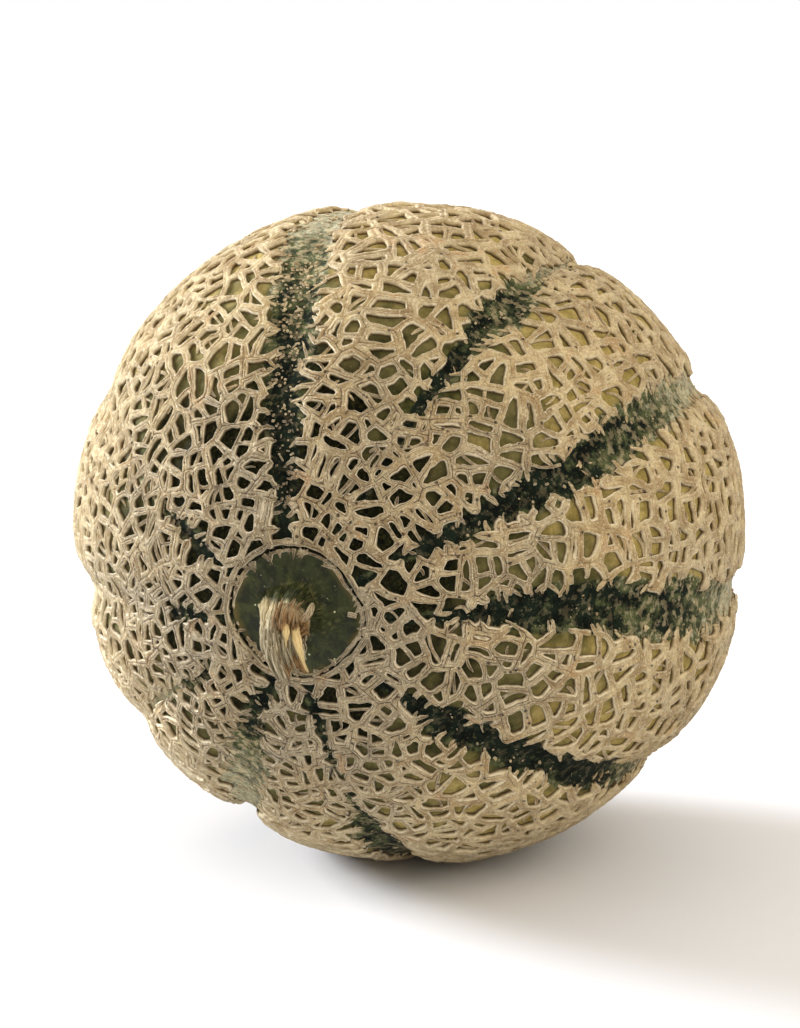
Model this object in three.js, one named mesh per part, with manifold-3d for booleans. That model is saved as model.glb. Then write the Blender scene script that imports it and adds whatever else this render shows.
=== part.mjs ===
// Netted, ribbed cantaloupe melon lying on its side on a small flat spot.
//
// Row frame: millimetres, +Z up. The origin is the middle of the flat resting
// spot, straight under the middle of the fruit. The stem end faces -Y and the
// blossom end faces +Y, so the axis through stem and blossom end lies level.
//
// melon_fruit  one solid: ten ribs with shallow furrows between them, a round
//              smooth scar plate round the stem, a dimple at the blossom end
//              and the flat spot that it rests on.
// stem_stub    the short stub of stem left on the fruit: flared and ridged at
//              its foot, bent over downwards, torn off at its end.
import * as THREE from 'three';
import { mergeVertices } from 'three/addons/utils/BufferGeometryUtils.js';
import Module from 'manifold-3d';

const DEG = Math.PI / 180;

// ---- driving dimensions, millimetres and degrees ----
const FURROW_MIN_DEPTH = 0.9;
const POLAR_TO_EQUATOR = 0.975;   // length over width
const FLAT_BELOW_CENTRE = 73.0;   // height of the fruit's middle over the flat
const FURROW_NARROW = 4.5;        // half width of the furrow's steep part
const FURROW_WIDE = 11.0;         // half width of the furrow's gentle part
const SCAR_PLATE_R = 13.7;        // round smooth plate at the stem end
const SCAR_PLATE_SINK = 0.8;
const BLOSSOM_DIMPLE_R = 9.0;
const BLOSSOM_DIMPLE_SINK = 1.6;
const STEM_GAP = 0.35;            // between the fruit and the stub

// Furrows: angle about the axis from straight up, turning towards -X as seen
// from the stem end, how far the furrow bends sideways on its way to the
// equator, the radius at the furrow's bottom, and the crest radius of the rib
// that follows it.
const RIBS = [
  { furrow: 6.9, bend: 1.2, floor: 74.1, crest: 76.7 },
  { furrow: 61.8, bend: 0, floor: 75.4, crest: 76.9 },
  { furrow: 99.2, bend: 0, floor: 72.9, crest: 75.6 },
  { furrow: 127.3, bend: 0, floor: 73.5, crest: 75.2 },
  { furrow: 157.6, bend: -3.6, floor: 72.7, crest: 75.1 },
  { furrow: 188.0, bend: 0, floor: 73.5, crest: 76.2 },
  { furrow: 229.6, bend: 1.4, floor: 74.4, crest: 77.1 },
  { furrow: 268.2, bend: -4.8, floor: 75.0, crest: 76.2 },
  { furrow: 297.8, bend: 1.8, floor: 73.3, crest: 74.3 },
  { furrow: 329.8, bend: 0, floor: 72.4, crest: 74.7 },
];

// Stem end: the scar plate sits a little off the fruit's axis.
const AXIS_STEM = new THREE.Vector3(0, -1, 0);
const PLATE_DIR = new THREE.Vector3(0.0193, -0.9991, -0.0367).normalize();
const STEM_DIR = new THREE.Vector3(0.0016, -0.9999, -0.0109).normalize();

// Mesh density
const COLUMNS_PER_RIB = [0, 0.07, 0.18, 0.33, 0.5, 0.67, 0.82, 0.93];
const RING_ANGLES = [
  3.5, 7, 9.2, 10.4, 11.8, 14.5, 18.5, 23, 28, 33.5, 39.5, 46, 53, 60.5, 68.5,
  76.5, 84.5, 92.5, 100.5, 108.5, 116.5, 124.5, 132.5, 140, 147, 153.5, 159.5,
  165, 170, 174.5,
];

const smooth = (a, b, x) => {
  const t = Math.min(1, Math.max(0, (x - a) / (b - a)));
  return t * t * (3 - 2 * t);
};

const furrowAt = (rib, polar) => rib.furrow + rib.bend * smooth(38, 82, polar);

// Crest radius round the fruit, blended across each furrow.
function crestRadius(polar, azimuth) {
  const n = RIBS.length;
  for (let k = 0; k < n; k++) {
    const start = furrowAt(RIBS[k], polar);
    let span = furrowAt(RIBS[(k + 1) % n], polar) - start;
    if (span <= 0) span += 360;
    const a = (((azimuth - start) % 360) + 360) % 360;
    if (a <= span) {
      const previous = RIBS[(k + n - 1) % n].crest;
      const here = RIBS[k].crest;
      const next = RIBS[(k + 1) % n].crest;
      const blend = 9;
      if (a < blend) return previous + (here - previous) * (0.5 + 0.5 * smooth(0, blend, a));
      if (span - a < blend) return next + (here - next) * (0.5 + 0.5 * smooth(0, blend, span - a));
      return here;
    }
  }
  return RIBS[0].crest;
}

// Distance from the fruit's middle to its skin, in a direction given by the
// angle from the stem end and the angle about the axis.
function skinRadius(polar, azimuth) {
  const crest = crestRadius(polar, azimuth);
  const s = Math.sin(polar * DEG);
  const c = Math.cos(polar * DEG);
  const mid = 76.0;
  const equatorial = mid + (crest - mid) * smooth(15, 60, polar) * (1 - smooth(125, 168, polar));
  const along = mid * POLAR_TO_EQUATOR;
  let r = 1 / Math.sqrt((s * s) / (equatorial * equatorial) + (c * c) / (along * along));
  let groove = 0;
  for (const rib of RIBS) {
    const d = Math.abs((((azimuth - furrowAt(rib, polar) + 540) % 360) + 360) % 360 - 180) * DEG * s * r;
    const depth = Math.max(FURROW_MIN_DEPTH, equatorial - rib.floor);
    groove = Math.max(groove, depth * (0.62 * Math.exp(-((d / FURROW_NARROW) ** 2)) + 0.38 * Math.exp(-((d / FURROW_WIDE) ** 2))));
  }
  r -= groove * smooth(13, 50, polar) * (1 - smooth(138, 172, polar));
  const plate = SCAR_PLATE_R / along / DEG;
  r -= SCAR_PLATE_SINK * (1 - smooth(plate - 1.4, plate + 0.8, polar));
  const dimple = BLOSSOM_DIMPLE_R / along / DEG;
  r -= BLOSSOM_DIMPLE_SINK * Math.exp(-(((180 - polar) / dimple) ** 2));
  return r;
}

// Point on the skin. The pole of the grid moves from the scar plate's middle
// to the fruit's own axis over the stem end.
function skinPoint(polar, azimuth) {
  const pole = PLATE_DIR.clone().lerp(AXIS_STEM, smooth(8, 45, polar)).normalize();
  const up = new THREE.Vector3(0, 0, 1).addScaledVector(pole, -pole.z).normalize();
  const left = new THREE.Vector3().crossVectors(pole, up);   // towards -X at the stem end
  const s = Math.sin(polar * DEG);
  const dir = pole.clone().multiplyScalar(Math.cos(polar * DEG))
    .addScaledVector(up, s * Math.cos(azimuth * DEG))
    .addScaledVector(left, s * Math.sin(azimuth * DEG));
  return dir.multiplyScalar(skinRadius(polar, azimuth));
}

function geometryFrom(points, triangles) {
  const geometry = new THREE.BufferGeometry();
  const flat = new Float32Array(points.length * 3);
  points.forEach((p, i) => flat.set([p.x, p.y, p.z], i * 3));
  geometry.setAttribute('position', new THREE.BufferAttribute(flat, 3));
  geometry.setIndex(triangles);
  geometry.computeVertexNormals();
  return geometry;
}

function fruitGeometry() {
  const points = [skinPoint(0, 0)];
  for (const polar of RING_ANGLES) {
    RIBS.forEach((rib, k) => {
      const start = furrowAt(rib, polar);
      let span = furrowAt(RIBS[(k + 1) % RIBS.length], polar) - start;
      if (span <= 0) span += 360;
      for (const u of COLUMNS_PER_RIB) points.push(skinPoint(polar, start + u * span));
    });
  }
  const m = RIBS.length * COLUMNS_PER_RIB.length;
  points.push(skinPoint(180, 0));
  const last = points.length - 1;
  const rings = RING_ANGLES.length;
  const at = (i, j) => 1 + i * m + (j % m);
  const triangles = [];
  for (let j = 0; j < m; j++) {
    triangles.push(0, at(0, j), at(0, j + 1));
    for (let i = 0; i < rings - 1; i++) {
      const a = at(i, j), b = at(i + 1, j), c = at(i + 1, j + 1), d = at(i, j + 1);
      if ((i + j) % 2) triangles.push(a, b, c, a, c, d);
      else triangles.push(a, b, d, b, c, d);
    }
    triangles.push(at(rings - 1, j), last, at(rings - 1, j + 1));
  }
  return geometryFrom(points, triangles);
}

// Stub: ringed sections along a bent line.
function stemGeometry() {
  const plateR = skinRadius(0, 0);
  const foot0 = STEM_DIR.clone().multiplyScalar(plateR + STEM_GAP);
  const out = STEM_DIR;
  const p0 = foot0.clone().add(new THREE.Vector3(0.7, 0, -1.8));
  const p1 = foot0.clone().addScaledVector(out, 5.2).add(new THREE.Vector3(0.7, 0, -2.2));
  const p2 = foot0.clone().addScaledVector(out, 8.4).add(new THREE.Vector3(2.0, 0, -5.6));
  const p3 = foot0.clone().addScaledVector(out, 8.0).add(new THREE.Vector3(4.2, 0, -11.0));
  const line = new THREE.CubicBezierCurve3(p0, p1, p2, p3);
  const steps = 12;
  const sides = 30;
  const radii = [6.0, 5.3, 4.9, 4.75, 4.65, 4.6, 4.55, 4.45, 4.35, 4.2, 4.0, 3.8, 3.6];
  const points = [];
  const ref = new THREE.Vector3(1, 0, 0);
  for (let i = 0; i <= steps; i++) {
    const t = i / steps;
    const centre = line.getPoint(t);
    const tangent = i === 0 ? out.clone() : line.getTangent(t);
    const side = ref.clone().addScaledVector(tangent, -ref.dot(tangent)).normalize();
    const over = new THREE.Vector3().crossVectors(tangent, side);
    for (let j = 0; j < sides; j++) {
      const a = (j / sides) * Math.PI * 2;
      const ridge = 1 + 0.055 * Math.cos(5 * a + 0.6);
      const r = radii[i] * ridge;
      const p = centre.clone().addScaledVector(side, r * Math.cos(a)).addScaledVector(over, r * Math.sin(a));
      if (i === steps) p.addScaledVector(tangent, 0.9 * Math.cos(3 * a + 0.4) + 0.5 * Math.cos(7 * a));
      points.push(p);
    }
  }
  const foot = points.length;
  points.push(p0.clone());
  const tip = points.length;
  points.push(p3.clone().addScaledVector(line.getTangent(1), -0.6));
  const triangles = [];
  for (let j = 0; j < sides; j++) {
    const n = (j + 1) % sides;
    triangles.push(foot, n, j);
    for (let i = 0; i < steps; i++) {
      const a = i * sides + j, b = (i + 1) * sides + j, c = (i + 1) * sides + n, d = i * sides + n;
      triangles.push(a, d, c, a, c, b);
    }
    triangles.push(tip, steps * sides + j, steps * sides + n);
  }
  return geometryFrom(points, triangles);
}

const wasm = await Module();
wasm.setup();

function toSolid(geometry) {
  const g = geometry.clone();
  g.deleteAttribute('normal');
  if (g.getAttribute('uv')) g.deleteAttribute('uv');
  const merged = mergeVertices(g, 1e-5);
  return new wasm.Manifold(new wasm.Mesh({
    numProp: 3,
    vertProperties: new Float32Array(merged.getAttribute('position').array),
    triVerts: new Uint32Array(merged.getIndex().array),
  }));
}

function fromSolid(solid) {
  const mesh = solid.getMesh();
  const geometry = new THREE.BufferGeometry();
  geometry.setAttribute('position', new THREE.BufferAttribute(new Float32Array(mesh.vertProperties), 3));
  geometry.setIndex(new THREE.BufferAttribute(new Uint32Array(mesh.triVerts), 1));
  geometry.computeVertexNormals();
  return geometry;
}

// The flat spot: everything lower than the flat is taken off the fruit.
const below = new THREE.BoxGeometry(120, 120, 40);
below.translate(0, 0, -FLAT_BELOW_CENTRE - 20);
const fruit = fromSolid(toSolid(fruitGeometry()).subtract(toSolid(below)));

const rind = new THREE.MeshStandardMaterial({ color: 0xb39a74, roughness: 0.85, metalness: 0 });
const stem = new THREE.MeshStandardMaterial({ color: 0xa08a62, roughness: 0.9, metalness: 0 });

const fruitMesh = new THREE.Mesh(fruit, rind);
fruitMesh.name = 'melon_fruit';
fruitMesh.position.set(0, 0, FLAT_BELOW_CENTRE);

const stemMesh = new THREE.Mesh(stemGeometry(), stem);
stemMesh.name = 'stem_stub';
stemMesh.position.set(0, 0, FLAT_BELOW_CENTRE);

const melon = new THREE.Group();
melon.add(fruitMesh, stemMesh);

export default melon;
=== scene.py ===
import bpy
import bmesh
import math
import time
import numpy as np
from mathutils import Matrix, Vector


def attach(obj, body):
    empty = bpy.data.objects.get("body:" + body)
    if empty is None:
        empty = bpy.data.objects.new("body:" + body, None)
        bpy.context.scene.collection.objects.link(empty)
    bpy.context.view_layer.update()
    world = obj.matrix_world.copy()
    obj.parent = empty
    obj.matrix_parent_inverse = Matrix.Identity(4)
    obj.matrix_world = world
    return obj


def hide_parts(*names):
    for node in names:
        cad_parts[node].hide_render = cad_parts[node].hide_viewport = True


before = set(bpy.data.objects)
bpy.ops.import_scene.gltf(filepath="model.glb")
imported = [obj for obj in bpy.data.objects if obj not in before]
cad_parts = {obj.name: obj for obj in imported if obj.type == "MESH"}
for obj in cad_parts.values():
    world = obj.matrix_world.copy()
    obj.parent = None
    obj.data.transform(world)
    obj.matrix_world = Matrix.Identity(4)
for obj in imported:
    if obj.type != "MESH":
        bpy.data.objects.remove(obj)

T0 = time.time()


def log(msg):
    print("[scene %.1fs] %s" % (time.time() - T0, msg))


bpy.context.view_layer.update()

# ------------------------------------------------------------------ the fruit's shape
# Millimetres, from the middle of the fruit; the same rules as the CAD solid.
R0 = 75.0
CENTRE_Z = 73.0
DEG = math.pi / 180.0
MIN_DEPTH = 0.9
SINK = 0.62          # the green skin lies this far under the CAD skin, which is the net's mean height
ALONG = 76.0 * 0.975
PLATE_R = 13.7
AXIS = np.array([0.0, -1.0, 0.0])
PLATE = np.array([0.0193, -0.9991, -0.0367])
PLATE = PLATE / np.linalg.norm(PLATE)
FUR = np.array([6.9, 61.8, 99.2, 127.3, 157.6, 188.0, 229.6, 268.2, 297.8, 329.8])
BEND = np.array([1.2, 0, 0, 0, -3.6, 0, 1.4, -4.8, 1.8, 0])
FLOORS = np.array([74.1, 75.4, 72.9, 73.5, 72.7, 73.5, 74.4, 75.0, 73.3, 72.4])
CREST = np.array([76.7, 76.9, 75.6, 75.2, 75.1, 76.2, 77.1, 76.2, 74.3, 74.7])
NR = len(FUR)
# bare band along each furrow, by angle from the stem end: half width in mm, how far it lies
# to the side of the furrow's bottom in mm, and how hazy it is (0 near black, 1 pale)
TK = np.array([8.0, 14, 20, 28, 36, 44, 52, 60, 68, 76, 84, 92, 110, 130, 148, 164])
BAND = np.array([
    [0, 0.8, 1.9, 3.0, 4.0, 4.7, 5.0, 5.0, 5.0, 4.8, 4.4, 4.2, 3.8, 3.2, 2.6, 0],
    [0, 0.3, 1.3, 0.9, 0, 0, 0, 0, 0, 0.4, 1.0, 1.6, 1.8, 1.4, 0.8, 0],
    [0, 0.9, 1.5, 0.9, 0, 0, 0, 0, 0, 0, 0.8, 1.2, 1.5, 1.2, 0.6, 0],
    [0, 0.5, 1.0, 0.3, 0.3, 1.0, 0.4, 0, 0, 0.6, 1.0, 1.4, 1.6, 1.2, 0.6, 0],
    [0.8, 1.5, 1.9, 3.3, 4.8, 5.0, 4.6, 4.0, 3.6, 3.4, 3.2, 3.2, 3.0, 2.6, 2.0, 0],
    [0, 0.5, 1.3, 0.4, 0, 1.6, 4.2, 4.4, 4.0, 3.0, 2.0, 1.8, 1.8, 1.6, 1.0, 0],
    [0, 0, 0, 1.9, 3.6, 3.7, 2.9, 4.1, 4.1, 3.8, 3.6, 3.6, 3.4, 3.0, 2.4, 0],
    [0, 0, 0, 1.5, 3.0, 4.0, 4.6, 5.0, 5.4, 5.6, 5.4, 5.0, 4.4, 3.6, 2.8, 0],
    [0, 0, 0.2, 1.3, 2.7, 3.5, 3.9, 4.4, 4.6, 4.4, 3.4, 3.0, 3.4, 3.2, 2.4, 0],
    [0, 0, 0, 0, 0, 2.2, 1.6, 4.0, 4.0, 1.2, 0.6, 1.6, 2.0, 1.8, 1.2, 0]])
SHIFT = np.zeros((NR, len(TK)))
SHIFT[0] = [0, 0, 0, 0.3, 0.6, 1.2, 2.0, 3.0, 3.9, 4.4, 4.2, 3.4, 1.5, 0, 0, 0]
SHIFT[4] = [0, 0, -0.8, 0, 0.4, -0.4, 0, 0, 0, 0, 0, 0, 0, 0, 0, 0]
SHIFT[8] = [0, 0, 0, -1.4, -2.0, -2.1, -2.1, -1.8, -1.3, -0.8, -0.3, 0, 0, 0, 0, 0]
SHIFT[6] = [0, 0, 0, 0, 0, 0, -0.4, -1.0, -1.3, -1.1, -0.6, 0, 0, 0, 0, 0]
HAZE = np.array([
    [0, 0, 0, 0.03, 0.08, 0.18, 0.28, 0.40, 0.58, 0.82, 1, 1, 0.8, 0.7, 0.6, 0.6],
    [0, 0, 0.05, 0.3, 0.7, 0.9, 0.9, 0.9, 0.9, 0.8, 0.8, 0.8, 0.7, 0.7, 0.6, 0.6],
    [0, 0, 0.05, 0.3, 0.7, 0.9, 0.9, 0.9, 0.9, 0.8, 0.8, 0.8, 0.7, 0.7, 0.6, 0.6],
    [0, 0, 0.10, 0.4, 0.8, 0.9, 0.9, 0.9, 0.9, 0.8, 0.8, 0.8, 0.7, 0.7, 0.6, 0.6],
    [0, 0, 0.05, 0.42, 0.62, 0.78, 0.9, 0.9, 0.8, 0.8, 0.7, 0.7, 0.7, 0.7, 0.6, 0.6],
    [0, 0, 0.05, 0.3, 0.3, 0.25, 0.2, 0.2, 0.3, 0.4, 0.5, 0.6, 0.6, 0.6, 0.6, 0.6],
    [0, 0, 0, 0, 0, 0, 0.05, 0.02, 0.08, 0.3, 0.6, 0.8, 0.7, 0.6, 0.6, 0.6],
    [0, 0, 0, 0, 0.03, 0.08, 0.12, 0.26, 0.24, 0.34, 0.62, 0.95, 0.8, 0.7, 0.6, 0.6],
    [0, 0, 0, 0, 0.05, 0.08, 0.12, 0.24, 0.28, 0.42, 0.70, 0.9, 0.8, 0.7, 0.6, 0.6],
    [0, 0, 0, 0, 0, 0.02, 0.12, 0.26, 0.34, 0.55, 0.8, 0.8, 0.7, 0.6, 0.6, 0.6]])


def table(tab, th, k):
    """Value of one of the tables for furrow number k at polar angle th."""
    th = np.asarray(th, float)
    res = np.zeros(th.shape)
    for i in range(NR):
        m = k == i
        if np.any(m):
            res[m] = np.interp(th[m], TK, tab[i])
    return res


def smooth(a, b, x):
    t = np.clip((x - a) / (b - a), 0.0, 1.0)
    return t * t * (3.0 - 2.0 * t)


def lattice(ix, iy, iz, seed):
    m = np.int64(0xFFFFFFFF)
    a = (ix.astype(np.int64) & m).astype(np.uint32) * np.uint32(374761393)
    b = (iy.astype(np.int64) & m).astype(np.uint32) * np.uint32(668265263)
    c = (iz.astype(np.int64) & m).astype(np.uint32) * np.uint32(3266489917)
    h = a ^ b ^ c ^ np.uint32((seed * 2654435761) & 0xFFFFFFFF)
    h = (h ^ (h >> np.uint32(15))) * np.uint32(2246822519)
    h = (h ^ (h >> np.uint32(13))) * np.uint32(3266489917)
    h = h ^ (h >> np.uint32(16))
    return h.astype(np.float64) / 4294967295.0 * 2.0 - 1.0


def noise(p, scale, seed):
    q = np.asarray(p, float) / scale + 137.31 + seed * 0.173
    i = np.floor(q)
    f = q - i
    u = f * f * (3 - 2 * f)
    out = 0.0
    for dx in (0, 1):
        wx = u[..., 0] if dx else 1 - u[..., 0]
        for dy in (0, 1):
            wy = u[..., 1] if dy else 1 - u[..., 1]
            for dz in (0, 1):
                wz = u[..., 2] if dz else 1 - u[..., 2]
                out = out + wx * wy * wz * lattice(i[..., 0] + dx, i[..., 1] + dy, i[..., 2] + dz, seed)
    return out


def unit(v):
    return v / np.linalg.norm(v, axis=-1, keepdims=True)


def polar_az(d):
    """Angle from the stem end and angle about the axis, in degrees."""
    th = np.degrees(np.arccos(np.clip(d @ AXIS, -1, 1)))
    for _ in range(4):
        w = smooth(8, 45, th)[..., None]
        pole = unit(PLATE * (1 - w) + AXIS * w)
        th = np.degrees(np.arccos(np.clip((d * pole).sum(-1), -1, 1)))
    up = np.array([0, 0, 1.0]) - pole[..., 2:3] * pole
    up = unit(up)
    left = np.cross(pole, up)
    az = np.degrees(np.arctan2((d * left).sum(-1), (d * up).sum(-1))) % 360.0
    return th, az


def direction(th, az):
    th = np.asarray(th, float)
    az = np.asarray(az, float)
    w = smooth(8, 45, th)[..., None]
    pole = unit(PLATE * (1 - w) + AXIS * w)
    up = unit(np.array([0, 0, 1.0]) - pole[..., 2:3] * pole)
    left = np.cross(pole, up)
    s = np.sin(th * DEG)[..., None]
    return pole * np.cos(th * DEG)[..., None] + up * (s * np.cos(az * DEG)[..., None]) + left * (s * np.sin(az * DEG)[..., None])


def wrap(a):
    return (a + 540.0) % 360.0 - 180.0


def furrow_at(th):
    """(n, 10) furrow angles at each polar angle."""
    return FUR + BEND * smooth(38, 82, np.asarray(th))[..., None]


def furrows(th, az):
    """Signed distance in mm to the nearest furrow, its number, and the rib's number."""
    fa = furrow_at(th)
    d = wrap(az[..., None] - fa) * DEG * np.sin(th * DEG)[..., None] * R0
    k = np.argmin(np.abs(d), axis=-1)
    dn = np.take_along_axis(d, k[..., None], -1)[..., 0]
    rib = np.where(dn >= 0, k, (k - 1) % NR)
    return dn, k, rib


def skin_radius(th, az):
    s = np.sin(th * DEG)
    c = np.cos(th * DEG)
    fa = furrow_at(th)
    rel = (az[..., None] - fa) % 360.0
    rib = np.argmin(rel, axis=-1)
    a = np.take_along_axis(rel, rib[..., None], -1)[..., 0]
    nxt = (rib + 1) % NR
    span = (np.take_along_axis(fa, nxt[..., None], -1)[..., 0] - np.take_along_axis(fa, rib[..., None], -1)[..., 0]) % 360.0
    here = CREST[rib]
    crest = np.where(a < 9, CREST[(rib - 1) % NR] + (here - CREST[(rib - 1) % NR]) * (0.5 + 0.5 * smooth(0, 9, a)), here)
    e = span - a
    crest = np.where(e < 9, CREST[nxt] + (here - CREST[nxt]) * (0.5 + 0.5 * smooth(0, 9, e)), crest)
    eq = 76.0 + (crest - 76.0) * smooth(15, 60, th) * (1 - smooth(125, 168, th))
    r = 1.0 / np.sqrt(s * s / (eq * eq) + c * c / (ALONG * ALONG))
    d = np.abs(wrap(az[..., None] - fa)) * DEG * (s * r)[..., None]
    depth = np.maximum(MIN_DEPTH, eq[..., None] - FLOORS)
    g = (depth * (0.62 * np.exp(-(d / 4.5) ** 2) + 0.38 * np.exp(-(d / 11.0) ** 2))).max(-1)
    r = r - g * smooth(13, 50, th) * (1 - smooth(138, 172, th))
    plate = PLATE_R / ALONG / DEG
    r = r - 0.8 * (1 - smooth(plate - 1.4, plate + 0.8, th))
    dimple = 9.0 / ALONG / DEG
    r = r - 1.6 * np.exp(-((180 - th) / dimple) ** 2)
    return r


def lumps(d):
    """Slow unevenness of a grown thing, in mm."""
    p = d * R0
    return 0.30 * noise(p, 24.0, 11) + 0.16 * noise(p, 11.0, 12)


def band_half(th, k, p):
    """Half width of the bare band along furrow k, mm."""
    wob = 1.0 + 0.32 * noise(p, 7.0, 21) + 0.24 * noise(p, 2.6, 22)
    patch = noise(p, 11.0, 23) * 0.9 + noise(p, 5.0, 24) * 0.35
    thin = np.where(np.isin(k, (1, 2, 3)), smooth(-0.25, 0.1, patch), 1.0)
    return table(BAND, th, k) * wob * thin


def place(d, z, floor_z=None):
    """Unit directions and heights over the skin (mm) to metres in the row frame."""
    th, az = polar_az(d)
    r = skin_radius(th, az) + lumps(d) * (1 - smooth(0, 12, 14 - th)) - SINK + z
    p = d * r[..., None]
    p[..., 2] += CENTRE_Z
    if floor_z is not None:
        p[..., 2] = np.maximum(p[..., 2], floor_z)
    return p * 0.001


# ------------------------------------------------------------------ net: where the cork strands run
rng = np.random.default_rng(20418)


def cell_target(th, dn, p):
    """Wanted area of one mesh of the net, mm2."""
    a = 20.0 + 8.5 * smooth(18, 48, th)
    a = a * (1 - 0.22 * smooth(120, 165, th))
    a = a * (1 - 0.20 * smooth(16, 28, th) * (1 - smooth(56, 72, th)))
    a = a * (0.84 + 0.16 * smooth(2.0, 7.0, np.abs(dn)))
    return a * (1.0 + 0.30 * noise(p, 9.0, 31) + 0.12 * noise(p, 4.0, 32))


def scatter():
    n = 26000
    z = rng.uniform(-1, 1, n)
    f = rng.uniform(0, 2 * math.pi, n)
    s = np.sqrt(1 - z * z)
    cand = np.stack([s * np.cos(f), s * np.sin(f), z], 1)
    th, az = polar_az(cand)
    dn, k, rib = furrows(th, az)
    area = cell_target(th, dn, cand * R0) * 2.7
    rad = 0.80 * np.sqrt(area)
    kept = np.zeros((4000, 3))
    m = 0
    for i in range(n):
        c = cand[i]
        if m:
            dd = kept[:m] - c
            if (dd * dd).sum(1).min() * R0 * R0 < rad[i] ** 2:
                continue
        kept[m] = c
        m += 1
    return kept[:m]


def voronoi(points):
    bm = bmesh.new()
    for i, p in enumerate(points):
        bm.verts.new(Vector(p) * 500.0)
    bm.verts.ensure_lookup_table()
    bm.verts.index_update()
    bmesh.ops.convex_hull(bm, input=bm.verts[:], use_existing_faces=False)
    bmesh.ops.triangulate(bm, faces=bm.faces[:])
    bm.verts.ensure_lookup_table()
    bm.verts.index_update()
    bm.faces.ensure_lookup_table()
    bm.faces.index_update()
    verts = []
    for f in bm.faces:
        a, b, c = [np.array(v.co) for v in f.verts]
        n = np.cross(b - a, c - a)
        if n @ (a + b + c) < 0:
            n = -n
        verts.append(n / np.linalg.norm(n))
    ea, eb, el, er = [], [], [], []
    cells = {}
    edge_of = {}
    for e in bm.edges:
        if len(e.link_faces) != 2:
            continue
        f0, f1 = e.link_faces
        edge_of[(f0.index, f1.index)] = (len(ea), 1)
        edge_of[(f1.index, f0.index)] = (len(ea), -1)
        ea.append(f0.index)
        eb.append(f1.index)
        el.append(-1)
        er.append(-1)
    tris = {}
    for f in bm.faces:
        i, j, k = [v.index for v in f.verts]
        pi, pj, pk = [np.array(bm.verts[t].co) for t in (i, j, k)]
        if np.cross(pj - pi, pk - pi) @ (pi + pj + pk) < 0:
            j, k = k, j
        for t, u, w in ((i, j, k), (j, k, i), (k, i, j)):
            tris.setdefault(t, {})[u] = (w, f.index)
    for t in sorted(tris):
        nxt_ = tris[t]
        start = min(nxt_)
        u = start
        around = []
        while True:
            w, f = nxt_[u]
            around.append(f)
            u = w
            if u == start or len(around) > 40:
                break
        loop = []
        for i in range(len(around)):
            loop.append(edge_of[(around[i], around[(i + 1) % len(around)])])
        cid = len(cells)
        cells[cid] = loop
        for e, s in loop:
            if s > 0:
                el[e] = cid
            else:
                er[e] = cid
    bm.free()
    return verts, ea, eb, el, er, cells


def relax(points, rounds):
    for _ in range(rounds):
        v, ea_, eb_, el_, er_, cl = voronoi(points)
        new = []
        for c, loop in cl.items():
            P = np.array([v[ea_[e] if s_ > 0 else eb_[e]] for e, s_ in loop])
            cen = P.mean(0)
            cen /= np.linalg.norm(cen)
            e1, e2 = tangent(cen)
            q = to2d(P, cen, e1, e2)
            x, y = q[:, 0], q[:, 1]
            xn, yn = np.roll(x, -1), np.roll(y, -1)
            cr = x * yn - xn * y
            A = cr.sum() / 2
            g = np.array([((x + xn) * cr).sum(), ((y + yn) * cr).sum()]) / (6 * A)
            new.append(to3d(g[None], cen, e1, e2)[0])
        new = np.array(new)
        new += rng.normal(0, 0.35 / R0, new.shape)
        points = unit(new)
    return points


def merge_short(verts, ea, eb, el, er, cells, limit):
    """Pull the ends of very short strands together into one crossing."""
    root = list(range(len(verts)))
    touched = set()
    order = sorted(range(len(ea)), key=lambda e: -float(verts[ea[e]] @ verts[eb[e]]))
    dead = set()
    for e in order:
        a, b = ea[e], eb[e]
        length = math.acos(max(-1, min(1, float(verts[a] @ verts[b])))) * R0
        if length > limit:
            break
        if a in touched or b in touched:
            continue
        if min(len(cells[el[e]]), len(cells[er[e]])) < 5:
            continue
        touched.update((a, b))
        m = verts[a] + verts[b]
        verts[a] = m / np.linalg.norm(m)
        root[b] = a
        dead.add(e)
    for e in range(len(ea)):
        ea[e] = root[ea[e]]
        eb[e] = root[eb[e]]
    for c in cells:
        cells[c] = [(e, s_) for e, s_ in cells[c] if e not in dead]
    return dead


def tangent(c):
    ref = np.array([0.0, 0.0, 1.0]) if abs(c[2]) < 0.9 else np.array([1.0, 0.0, 0.0])
    e1 = np.cross(ref, c)
    e1 /= np.linalg.norm(e1)
    e2 = np.cross(c, e1)
    return e1, e2


def to2d(p, c, e1, e2):
    k = R0 / (p @ c)
    return np.stack([(p @ e1) * k, (p @ e2) * k], -1)


def to3d(q, c, e1, e2):
    return unit(c + (q[..., 0:1] * e1 + q[..., 1:2] * e2) / R0)


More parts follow.
